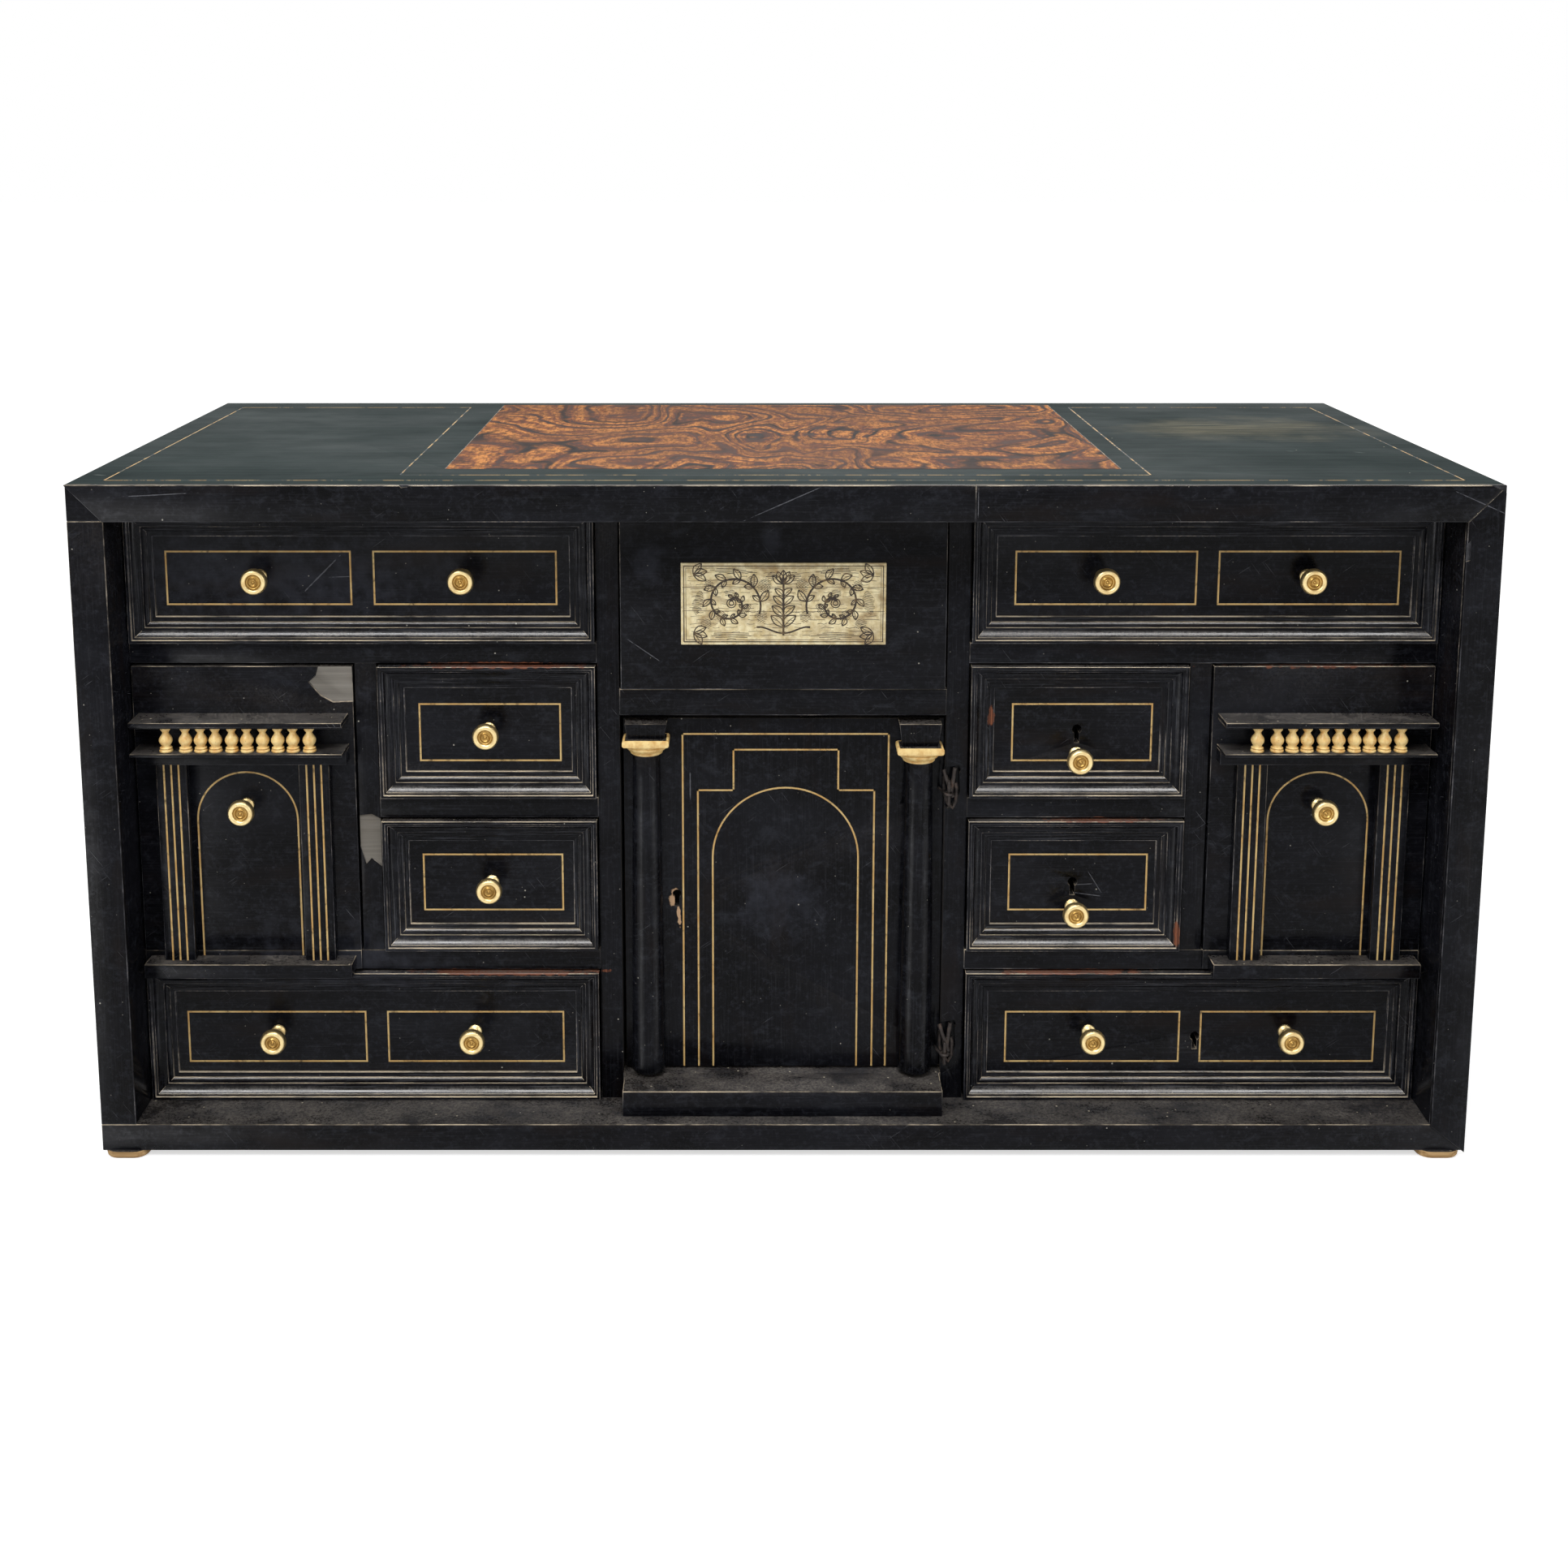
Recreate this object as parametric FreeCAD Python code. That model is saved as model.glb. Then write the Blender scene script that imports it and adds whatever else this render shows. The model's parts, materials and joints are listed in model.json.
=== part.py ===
import FreeCAD, Part
import os

from FreeCAD import Vector

# Ebonised table cabinet: eleven drawers round a small cupboard with a columned door.
# Millimetres. The origin is under the middle of the feet, +X to the right, +Z up, the front faces -Y.
# A depth is counted from the front edge of the case towards the back.

# Case
case_width = 880.0
case_depth = 370.0
case_height = 438.0
side_thickness = 22.5
top_thickness = 23.0
bottom_thickness = 18.0
back_thickness = 12.0
facing_thickness = 3.0
top_facing_joint = 116.5
bottom_facing_joint = -112.5
foot_width = 28.0
foot_depth = 30.0
foot_height = 5.0
foot_inset = 1.0

# Burl veneer let into the top
burl_width = 432.0
burl_front_margin = 60.0
burl_back_margin = 12.0
burl_thickness = 1.2

# Dividers and shelves; the rows of drawers, from below, share the height left between the shelves
carcass_setback = 38.0
divider_thickness = 14.0
post_thickness = 13.5
shelf_thickness = 13.5
centre_width = 210.0
tall_bay_width = 143.5
cupboard_floor_thickness = 17.4
cupboard_floor_depth = 13.0
cupboard_floor_end_gap = 1.0
centre_drawer_height = 116.5
rail_thickness = 17.5
row_height_shares = (0.254, 0.254, 0.251, 0.241)

# Drawers
panel_recess = 5.0
plain_front_stand = 2.0
front_thickness = 12.0
front_side_gap = 1.2
front_top_gap = 1.5
runner_gap = 0.3
box_wall = 8.0
box_bottom = 5.0
box_top_drop = 4.0
box_back_gap = 6.0

# Moulding round a drawer front: across from its outer edge, and out from the panel
moulding_width = 16.0
moulding_height = 9.0
lip_shares = ((0.0, 0.0), (0.0, 1.0), (0.14, 1.0), (0.14, 0.87), (0.24, 0.87))
cove_shares = ((0.24, 0.87), (0.34, 0.58), (0.58, 0.44))
bead_shares = ((0.58, 0.34), (0.69, 0.37), (0.78, 0.24))
inner_step_shares = ((0.78, 0.14), (1.0, 0.14), (1.0, 0.0))

# Turned knob: out from the panel, and radius
knob_length = 20.0
knob_radius = 8.4
knob_peg_radius = 1.9
knob_neck_shares = ((0.0, 0.56), (0.08, 0.56), (0.14, 0.34), (0.44, 0.28), (0.54, 0.50))
knob_head_back_shares = ((0.54, 0.50), (0.60, 0.86), (0.70, 1.0))
knob_head_edge_shares = ((0.82, 1.0), (0.90, 0.95), (0.93, 0.84))
knob_face_shares = ((0.90, 0.80), (0.90, 0.62), (0.96, 0.56), (0.92, 0.34), (0.98, 0.24), (1.0, 0.0))
knob_pair_spacing = 130.0
locked_knob_drop_share = 0.046283

# Tall drawer fronts
tall_lip_gap = 1.0
tall_lip_clearance = 0.4
tall_trim_side_gap = 3.5
tall_plinth_height = 9.5
tall_plinth_projection = 15.0
pilaster_width = 19.5
pilaster_thickness = 8.0
pilaster_spacing = 91.2
fascia_height = 9.0
fascia_projection = 10.0
cornice_shelf_thickness = 2.0
cornice_projection = 22.0
cornice_thickness = 3.0
cornice_bed_height = 1.4
cornice_bed_inset = 2.0
tall_head_height = 30.8
tall_knob_height_share = 0.77541

# Balusters in the gap of the tall fronts: up from the foot, and radius
baluster_count = 10
baluster_gap = 1.1
baluster_height = 16.0
baluster_radius = 4.5
baluster_inset = 6.0
baluster_foot_shares = ((0.0, 0.0), (0.0, 0.80), (0.10, 0.80), (0.16, 0.45))
baluster_belly_shares = ((0.16, 0.45), (0.36, 1.0), (0.60, 0.42))
baluster_head_shares = (
    (0.60, 0.42), (0.64, 0.66), (0.72, 0.66), (0.76, 0.40), (0.90, 0.74), (1.0, 0.74), (1.0, 0.0)
)

# Plaque on the centre drawer
plaque_width = 130.0
plaque_height = 53.0
plaque_thickness = 2.5
plaque_rise = 30.2

# Door
door_recess = 7.0
door_thickness = 12.0
door_left_gap = 2.0
door_right_gap = 0.8
door_bottom_gap = 1.6
door_top_gap = 4.0
column_foot_radius = 11.0
column_head_radius = 8.3
column_stand = 4.0
column_foot_gap = 1.0
capital_width = 30.0
capital_side_gap = 2.0
capital_depth = 17.5
abacus_height = 4.5
capital_height = 12.0
capital_top_drop = 10.0
right_capital_slip = 5.0
capital_neck_radius = 9.0
capital_bell_radius = 12.5
capital_ring_height = 2.6
capital_block_width = 27.0
capital_block_depth = 13.0

# Wire hinges
hinge_wire_radius = 1.1
hinge_eye_clearance = 0.5
hinge_eye_wire_radius = 0.9
hinge_side_offset = 2.0
hinge_eye_gap = 0.6
hinge_top_offset = 47.0
hinge_bottom_offset = 14.0
hinge_pin_half_height = 7.0
hinge_leg_length = 9.0
hinge_shank_side = 4.0
hinge_shank_depth = 3.5

# Locks
lock_width = 36.0
lock_depth = 9.0
lock_wall = 1.2
lock_below = 16.0
bolt_width = 12.0
bolt_thickness = 3.0
bolt_depth = 3.0
bolt_length = 26.0
bolt_clearance = 0.3
bolt_throw = 7.0
mortise_margin = 1.0
keyhole_radius = 3.0
keyhole_slot_width = 3.0
keyhole_slot_length = 9.0
key_pin_radius = 1.1
bottom_keyhole_shift = 5.5
bottom_keyhole_drop = 3.6
door_lock_backset = 34.0
door_lock_setback = 2.0
door_lock_height = 120.5

# One overrun for every cut
overrun = 5.0

# Places worked out from the sizes above
front_y = -case_depth / 2
back_y = case_depth / 2
back_board_y = back_y - back_thickness
inner_x = case_width / 2 - side_thickness
divider_x = centre_width / 2
bay_x = divider_x + divider_thickness
post_x = inner_x - tall_bay_width - post_thickness
floor_z = foot_height + bottom_thickness
case_top_z = foot_height + case_height
ceiling_z = case_top_z - top_thickness
rows_height = ceiling_z - floor_z - (len(row_height_shares) - 1) * shelf_thickness
bottom_row_height, lower_row_height, upper_row_height, top_row_height = [
    share * rows_height for share in row_height_shares
]
low_shelf_z = floor_z + bottom_row_height
lower_row_z = low_shelf_z + shelf_thickness
middle_shelf_z = lower_row_z + lower_row_height
upper_row_z = middle_shelf_z + shelf_thickness
high_shelf_z = upper_row_z + upper_row_height
top_row_z = ceiling_z - top_row_height
cupboard_z = floor_z + cupboard_floor_thickness
centre_drawer_z = ceiling_z - centre_drawer_height
rail_z = centre_drawer_z - rail_thickness
carcass_y = front_y + carcass_setback
panel_depth = carcass_setback + panel_recess
plain_front_depth = carcass_setback - plain_front_stand
door_y = carcass_y + door_recess
door_low_z = cupboard_z + door_bottom_gap
door_high_z = rail_z - door_top_gap
column_x = divider_x - capital_side_gap - capital_width / 2
hinge_x = divider_x + hinge_side_offset
hinge_eye_radius = hinge_wire_radius + hinge_eye_clearance + hinge_eye_wire_radius
hinge_y = carcass_y - hinge_eye_gap - hinge_eye_wire_radius - hinge_eye_radius
hinge_heights = (door_low_z + hinge_bottom_offset, door_high_z - hinge_top_offset)


def block(x_low, x_high, y_low, y_high, z_low, z_high):
    """A straight block between two corners."""
    return Part.makeBox(x_high - x_low, y_high - y_low, z_high - z_low, Vector(x_low, y_low, z_low))


def mirrored_block(side, x_inner, x_outer, y_low, y_high, z_low, z_high):
    """A block whose X places count outwards from the middle, on the left (-1) or the right (+1)."""
    low, high = sorted((side * x_inner, side * x_outer))
    return block(low, high, y_low, y_high, z_low, z_high)


def moved(shape, x, y, z):
    """A copy of a shape, moved."""
    result = shape.copy()
    result.translate(Vector(x, y, z))
    return result


def turned(shape, degrees):
    """A copy of a shape, turned about the Y axis through the origin."""
    result = shape.copy()
    result.rotate(Vector(0, 0, 0), Vector(0, 1, 0), degrees)
    return result


def line_edges(points):
    """Straight edges from point to point."""
    return [Part.makeLine(a, b) for a, b in zip(points, points[1:])]


def arc_edge(points):
    """One arc through three points."""
    return Part.Arc(*points).toShape()


def prism(corners, y_low, y_high):
    """A prism along Y whose outline is a list of (x, z) corners."""
    points = [Vector(x, y_low, z) for x, z in corners]
    outline = Part.Wire(line_edges(points + points[:1]))
    return Part.Face(outline).extrude(Vector(0, y_high - y_low, 0))


def rod(radius, start, end):
    """A round rod from one point to another."""
    along = end - start
    return Part.makeCylinder(radius, along.Length, start, along)


def solids(*shapes):
    """Several separate solids of one node."""
    return Part.makeCompound([part for shape in shapes for part in shape.Solids])


def save(node, shape):
    shape.exportStep(f"parts/{node}.step")


# Case

def burl_panel():
    return block(
        -burl_width / 2, burl_width / 2, front_y + burl_front_margin, back_y - burl_back_margin,
        case_top_z - burl_thickness, case_top_z,
    )


def top_board():
    board = block(
        -case_width / 2, case_width / 2, front_y + facing_thickness, back_y, ceiling_z, case_top_z
    )
    return board.cut(burl_panel())


def bottom_board():
    return block(
        -case_width / 2, case_width / 2, front_y + facing_thickness, back_y, foot_height, floor_z
    )


def side_board(side):
    return mirrored_block(
        side, inner_x, case_width / 2, front_y + facing_thickness, back_y, floor_z, ceiling_z
    )


def back_planks():
    """Two wide planks, one above the other, let in between the boards of the case."""
    joint_z = (floor_z + ceiling_z) / 2
    low = block(-inner_x, inner_x, back_board_y, back_y, floor_z, joint_z)
    high = block(-inner_x, inner_x, back_board_y, back_y, joint_z, ceiling_z)
    return solids(low, high)


def front_edge_facings():
    """Mitred strips on the front edges; the top and bottom ones are each pieced from two lengths."""
    outer = case_width / 2
    strips = []
    for side in (-1, 1):
        strips.append([
            (side * outer, foot_height), (side * outer, case_top_z),
            (side * inner_x, ceiling_z), (side * inner_x, floor_z),
        ])
    for joint, edge_z, inner_z in (
        (top_facing_joint, case_top_z, ceiling_z),
        (bottom_facing_joint, foot_height, floor_z),
    ):
        for side in (-1, 1):
            strips.append([
                (side * outer, edge_z), (joint, edge_z), (joint, inner_z), (side * inner_x, inner_z)
            ])
    return solids(*[prism(strip, front_y, front_y + facing_thickness) for strip in strips])


def feet():
    outer = case_width / 2 - foot_inset
    pads = []
    for side in (-1, 1):
        for y_low in (front_y + foot_inset, back_y - foot_inset - foot_depth):
            pads.append(
                mirrored_block(side, outer - foot_width, outer, y_low, y_low + foot_depth, 0, foot_height)
            )
    return solids(*pads)


# Dividers and shelves

def dividers():
    """Two dividers beside the cupboard and two posts between the small and the tall drawers."""
    parts = []
    for side in (-1, 1):
        parts.append(
            mirrored_block(side, divider_x, bay_x, carcass_y, back_board_y, floor_z, ceiling_z)
        )
        parts.append(
            mirrored_block(
                side, post_x, post_x + post_thickness, carcass_y, back_board_y, lower_row_z, high_shelf_z
            )
        )
    cuts = [staple_legs(z) for z in hinge_heights] + [door_mortise()]
    return solids(*[part.cut(cuts) for part in parts])


def shelves():
    """Shelves of both side bays, and the board under the centre drawer."""
    parts = [
        block(-divider_x, divider_x, carcass_y, back_board_y, rail_z, centre_drawer_z)
    ]
    for side in (-1, 1):
        for x_outer, z in ((inner_x, low_shelf_z), (post_x, middle_shelf_z), (inner_x, high_shelf_z)):
            parts.append(
                mirrored_block(side, bay_x, x_outer, carcass_y, back_board_y, z, z + shelf_thickness)
            )
    mortises = [drawer_mortise(drawer) for drawer in moulded_drawers() if drawer["keyhole"]]
    return solids(*[part.cut(mortises) for part in parts])


def cupboard_floor():
    """Floor board of the cupboard; its front end stands forward as a step under the door."""
    step = block(
        -divider_x + cupboard_floor_end_gap, divider_x - cupboard_floor_end_gap,
        front_y + cupboard_floor_depth, carcass_y, floor_z, cupboard_z,
    )
    board = block(-divider_x, divider_x, carcass_y, back_board_y, floor_z, cupboard_z)
    return step.fuse(board).removeSplitter()


# Locks

def keyhole(thickness):
    """The hole for a key, from y = 0 through a board, with the key's pin at the origin."""
    start = Vector(0, -overrun, 0)
    hole = Part.makeCylinder(keyhole_radius, thickness + 2 * overrun, start, Vector(0, 1, 0))
    slot = block(
        -keyhole_slot_width / 2, keyhole_slot_width / 2, -overrun, thickness + overrun,
        -keyhole_slot_length, 0,
    )
    return hole.fuse(slot)


def lock_case(reach):
    """An iron lock, open towards the board that it is nailed to, with its bolt leaving upwards."""
    case = block(-lock_width / 2, lock_width / 2, 0, lock_depth, -lock_below, reach)
    hollow = block(
        -lock_width / 2 + lock_wall, lock_width / 2 - lock_wall, -overrun, lock_depth - lock_wall,
        -lock_below + lock_wall, reach - lock_wall,
    )
    slot = block(
        -bolt_width / 2 - bolt_clearance, bolt_width / 2 + bolt_clearance,
        bolt_depth - bolt_clearance, bolt_depth + bolt_thickness + bolt_clearance,
        reach - 2 * lock_wall, reach + overrun,
    )
    pin = rod(key_pin_radius, Vector(0, 0, 0), Vector(0, lock_depth - lock_wall / 2, 0))
    return case.cut([hollow, slot]).fuse(pin)


def lock_bolt(reach):
    """A flat bolt, its tip level with the edge of the lock."""
    return block(
        -bolt_width / 2, bolt_width / 2, bolt_depth, bolt_depth + bolt_thickness,
        reach - bolt_length, reach,
    )


def mortise(edge_gap):
    """The pocket that takes a thrown bolt, its mouth at z = 0."""
    return block(
        -bolt_width / 2 - mortise_margin, bolt_width / 2 + mortise_margin,
        bolt_depth - mortise_margin, bolt_depth + bolt_thickness + mortise_margin,
        -edge_gap, bolt_throw,
    )


def drawer_mortise(drawer):
    x = drawer["keyhole"][0]
    mouth_z = drawer["z_high"] + front_top_gap
    return moved(mortise(front_top_gap), x, drawer_back_of_front(panel_depth), mouth_z)


def door_mortise():
    cut = turned(mortise(door_left_gap), -90)
    return moved(cut, -divider_x, door_y + door_thickness, door_low_z + door_lock_height)


# Drawers

def drawer_back_of_front(depth):
    return front_y + depth + front_thickness


def drawer_place(name, side, x_low, x_high, z_low, z_high):
    """The front's outline inside its opening, with the running gaps taken off."""
    low, high = sorted((side * x_low, side * x_high))
    return {
        "name": name, "x_low": low + front_side_gap, "x_high": high - front_side_gap,
        "z_low": z_low + runner_gap, "z_high": z_high - front_top_gap, "keyhole": None,
    }


def moulded_drawers():
    """Long drawers at the top and bottom of each side bay, and two small ones between them."""
    drawers = []
    for side, hand in ((-1, "left"), (1, "right")):
        for row, x_outer, z_low, z_high in (
            ("top", inner_x, top_row_z, ceiling_z),
            ("upper", post_x, upper_row_z, high_shelf_z),
            ("lower", post_x, lower_row_z, middle_shelf_z),
            ("bottom", inner_x, floor_z, low_shelf_z),
        ):
            drawer = drawer_place(f"{row}_{hand}_drawer", side, bay_x, x_outer, z_low, z_high)
            middle_x = (drawer["x_low"] + drawer["x_high"]) / 2
            middle_z = (drawer["z_low"] + drawer["z_high"]) / 2
            drawer["knobs"] = [(middle_x, middle_z)]
            if row in ("top", "bottom"):
                half = knob_pair_spacing / 2
                drawer["knobs"] = [(middle_x - half, middle_z), (middle_x + half, middle_z)]
            if side > 0 and row in ("upper", "lower"):
                drawer["keyhole"] = (middle_x, middle_z)
                drawer["knobs"] = [(middle_x, middle_z - locked_knob_drop_share * rows_height)]
            if side > 0 and row == "bottom":
                drawer["keyhole"] = (middle_x + bottom_keyhole_shift, middle_z - bottom_keyhole_drop)
            drawers.append(drawer)
    return drawers


def tall_drawer(side, hand):
    drawer = drawer_place(
        f"tall_{hand}_drawer", side, post_x + post_thickness, inner_x, lower_row_z, high_shelf_z
    )
    middle_x = (drawer["x_low"] + drawer["x_high"]) / 2
    level = tall_levels(drawer)
    pilaster_height = level["pilaster_high"] - level["plinth_high"]
    drawer["knobs"] = [(middle_x, level["plinth_high"] + tall_knob_height_share * pilaster_height)]
    return drawer


def centre_drawer():
    drawer = drawer_place("centre_drawer", 1, -divider_x, divider_x, centre_drawer_z, ceiling_z)
    drawer["knobs"] = []
    return drawer


def drawer_box(drawer, depth):
    """Two sides, a back and a bottom behind the front board."""
    x_low, x_high, z_low = drawer["x_low"], drawer["x_high"], drawer["z_low"]
    z_high = drawer["z_high"] - box_top_drop
    y_low = drawer_back_of_front(depth)
    y_high = back_board_y - box_back_gap
    left = block(x_low, x_low + box_wall, y_low, y_high, z_low, z_high)
    right = block(x_high - box_wall, x_high, y_low, y_high, z_low, z_high)
    inner_low, inner_high = x_low + box_wall, x_high - box_wall
    bottom = block(inner_low, inner_high, y_low, y_high, z_low, z_low + box_bottom)
    back = block(inner_low, inner_high, y_high - box_wall, y_high, z_low + box_bottom, z_high)
    return solids(left, right, bottom, back)


def front_board(drawer, depth):
    """The front board with the holes for its knobs' pegs and for a key."""
    y = front_y + depth
    board = block(
        drawer["x_low"], drawer["x_high"], y, y + front_thickness, drawer["z_low"], drawer["z_high"]
    )
    holes = [
        rod(knob_peg_radius, Vector(x, y - overrun, z), Vector(x, y + front_thickness + overrun, z))
        for x, z in drawer["knobs"]
    ]
    if drawer["keyhole"]:
        x, z = drawer["keyhole"]
        holes.append(moved(keyhole(front_thickness), x, y, z))
    return board.cut(holes) if holes else board


def moulding_section():
    """The moulding's section: outer edge at z = 0, glued face at y = 0."""
    def point(share):
        return Vector(0, -share[1] * moulding_height, share[0] * moulding_width)
    lip = [point(share) for share in lip_shares]
    cove = [point(share) for share in cove_shares]
    bead = [point(share) for share in bead_shares]
    step = [point(share) for share in inner_step_shares]
    edges = line_edges(lip) + [arc_edge(cove)] + line_edges([cove[-1], bead[0]]) + [arc_edge(bead)]
    edges += line_edges([bead[-1]] + step + [lip[0]])
    return Part.Face(Part.Wire(edges))


def moulding_strip(length):
    """One strip along +X with mitred ends, its outer edge at z = 0."""
    strip = moulding_section().extrude(Vector(length, 0, 0))
    mitre = prism(
        [(0, 0), (length, 0), (length - moulding_width, moulding_width), (moulding_width, moulding_width)],
        -moulding_height - overrun, overrun,
    )
    return strip.common(mitre)


def moulding_strips(drawer):
    """Four mitred strips round the panel of a drawer front."""
    x_low, x_high = drawer["x_low"], drawer["x_high"]
    z_low, z_high = drawer["z_low"], drawer["z_high"]
    y = front_y + panel_depth
    flat = moulding_strip(x_high - x_low)
    upright = moulding_strip(z_high - z_low)
    return solids(
        moved(flat, x_low, y, z_low),
        moved(turned(flat, 180), x_high, y, z_high),
        moved(turned(upright, 90), x_low, y, z_high),
        moved(turned(upright, -90), x_high, y, z_low),
    )


def turned_knob():
    """A knob turned about the Y axis, its base at y = 0, its head towards -Y, its peg behind."""
    def point(share):
        return Vector(share[1] * knob_radius, -share[0] * knob_length, 0)
    neck = [point(share) for share in knob_neck_shares]
    head_back = [point(share) for share in knob_head_back_shares]
    head_edge = [point(share) for share in knob_head_edge_shares]
    face = [point(share) for share in knob_face_shares]
    peg = [
        Vector(0, front_thickness, 0), Vector(knob_peg_radius, front_thickness, 0),
        Vector(knob_peg_radius, 0, 0),
    ]
    edges = line_edges(peg + neck) + [arc_edge(head_back)]
    edges += line_edges([head_back[-1], head_edge[0]]) + [arc_edge(head_edge)]
    edges += line_edges([head_edge[-1]] + face + [peg[0]])
    outline = Part.Face(Part.Wire(edges))
    return outline.revolve(Vector(0, 0, 0), Vector(0, 1, 0), 360)


def knobs(drawer, depth):
    knob = turned_knob()
    return solids(*[moved(knob, x, front_y + depth, z) for x, z in drawer["knobs"]])


# Tall drawer fronts

def tall_levels(drawer):
    """Heights on a tall front: the plinth from below, the cornice and what hangs under it from above."""
    plinth_low = drawer["z_low"] - runner_gap - shelf_thickness + tall_lip_gap
    cornice_low = drawer["z_high"] - tall_head_height - cornice_thickness
    bed_low = cornice_low - cornice_bed_height
    shelf_low = bed_low - baluster_height - cornice_shelf_thickness
    return {
        "plinth_low": plinth_low, "plinth_high": plinth_low + tall_plinth_height,
        "pilaster_high": shelf_low - fascia_height, "shelf_low": shelf_low,
        "shelf_high": shelf_low + cornice_shelf_thickness, "bed_low": bed_low, "cornice_low": cornice_low,
    }


def tall_front(drawer):
    """Front board with a lip over the shelf edge, pilasters, plinth, fascia and two cornice shelves."""
    level = tall_levels(drawer)
    y = front_y + plain_front_depth
    lip = block(
        drawer["x_low"], drawer["x_high"], y, carcass_y - tall_lip_clearance,
        level["plinth_low"], drawer["z_low"],
    )
    board = front_board(drawer, plain_front_depth).fuse(lip)
    x_low, x_high = drawer["x_low"] + tall_trim_side_gap, drawer["x_high"] - tall_trim_side_gap
    middle_x = (x_low + x_high) / 2

    def rail(projection, z_low, z_high):
        return block(x_low, x_high, y - projection, y, z_low, z_high)

    trims = [
        rail(tall_plinth_projection, level["plinth_low"], level["plinth_high"]),
        rail(fascia_projection, level["pilaster_high"], level["shelf_low"]),
        rail(cornice_projection, level["shelf_low"], level["shelf_high"]),
        rail(cornice_projection - cornice_bed_inset, level["bed_low"], level["cornice_low"]),
        rail(cornice_projection, level["cornice_low"], level["cornice_low"] + cornice_thickness),
    ]
    for side in (-1, 1):
        x = middle_x + side * pilaster_spacing / 2
        trims.append(
            block(
                x - pilaster_width / 2, x + pilaster_width / 2, y - pilaster_thickness, y,
                level["plinth_high"], level["pilaster_high"],
            )
        )
    return solids(board, *trims)


def baluster():
    """A small turned baluster on the Z axis, standing at z = 0."""
    def point(share):
        return Vector(share[1] * baluster_radius, 0, share[0] * baluster_height)
    foot = [point(share) for share in baluster_foot_shares]
    belly = [point(share) for share in baluster_belly_shares]
    head = [point(share) for share in baluster_head_shares]
    edges = line_edges(foot) + [arc_edge(belly)] + line_edges(head + foot[:1])
    outline = Part.Face(Part.Wire(edges))
    return outline.revolve(Vector(0, 0, 0), Vector(0, 0, 1), 360)


def balusters(drawer):
    shelf_high = tall_levels(drawer)["shelf_high"]
    middle_x = (drawer["x_low"] + drawer["x_high"]) / 2
    baluster_pitch = 2 * baluster_radius + baluster_gap
    first_x = middle_x - (baluster_count - 1) * baluster_pitch / 2
    y = front_y + plain_front_depth - cornice_projection + baluster_inset
    one = baluster()
    return solids(*[
        moved(one, first_x + index * baluster_pitch, y, shelf_high) for index in range(baluster_count)
    ])


# Centre drawer

def plaque(drawer):
    """A thin plate on the front board, raised above the board's lower edge."""
    low = drawer["z_low"] + plaque_rise
    y = front_y + plain_front_depth
    return block(-plaque_width / 2, plaque_width / 2, y - plaque_thickness, y, low, low + plaque_height)


# Door

def door_panel():
    panel = block(
        -divider_x + door_left_gap, divider_x - door_right_gap, door_y, door_y + door_thickness,
        door_low_z, door_high_z,
    )
    key = moved(keyhole(door_thickness), *door_key_place())
    return panel.cut([eye_shank(z) for z in hinge_heights] + [key])


def door_key_place():
    return -divider_x + door_left_gap + door_lock_backset, door_y, door_low_z + door_lock_height


def capital_top(side):
    """Top of a capital; the right one has slipped down."""
    slip = right_capital_slip if side > 0 else 0
    return door_high_z - capital_top_drop - slip


def door_columns():
    """Two tapering columns flattened against the door, and a block over each capital."""
    parts = []
    foot_z = door_low_z + column_foot_gap
    for side in (-1, 1):
        x = side * column_x
        head_z = capital_top(side) - capital_height
        column = Part.makeCone(
            column_foot_radius, column_head_radius, head_z - foot_z,
            Vector(x, door_y - column_stand, foot_z), Vector(0, 0, 1),
        )
        reach = column_foot_radius + column_stand + overrun
        front_half = block(x - reach, x + reach, door_y - reach, door_y, foot_z - overrun, head_z + overrun)
        cap = block(
            x - capital_block_width / 2, x + capital_block_width / 2,
            door_y - capital_block_depth, door_y, capital_top(side), door_high_z,
        )
        parts += [column.common(front_half), cap]
    return solids(*parts)


def door_capitals():
    """Two capitals: a flat abacus over a flared bell and a ring, cut flat against the door."""
    parts = []
    for side in (-1, 1):
        x, top = side * column_x, capital_top(side)
        y = door_y - column_stand
        low = top - capital_height
        abacus_low = top - abacus_height
        abacus = block(
            x - capital_width / 2, x + capital_width / 2, door_y - capital_depth, door_y, abacus_low, top
        )
        ring = Part.makeCylinder(capital_neck_radius, capital_ring_height, Vector(x, y, low), Vector(0, 0, 1))
        bell = Part.makeCone(
            column_head_radius, capital_bell_radius, abacus_low - low - capital_ring_height,
            Vector(x, y, low + capital_ring_height), Vector(0, 0, 1),
        )
        reach = capital_width / 2
        front_half = block(x - reach, x + reach, door_y - capital_depth, door_y, low - overrun, abacus_low)
        parts.append(ring.fuse(bell).common(front_half).fuse(abacus))
    return solids(*parts)


# Wire hinges

def staple_legs(z):
    """The two legs of a staple that are driven into the right divider."""
    legs = []
    for end in (-1, 1):
        leg_z = z + end * hinge_pin_half_height
        start = Vector(hinge_x, hinge_y, leg_z)
        legs.append(rod(hinge_wire_radius, start, Vector(hinge_x, carcass_y + hinge_leg_length, leg_z)))
    return legs[0].fuse(legs[1])


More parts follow.
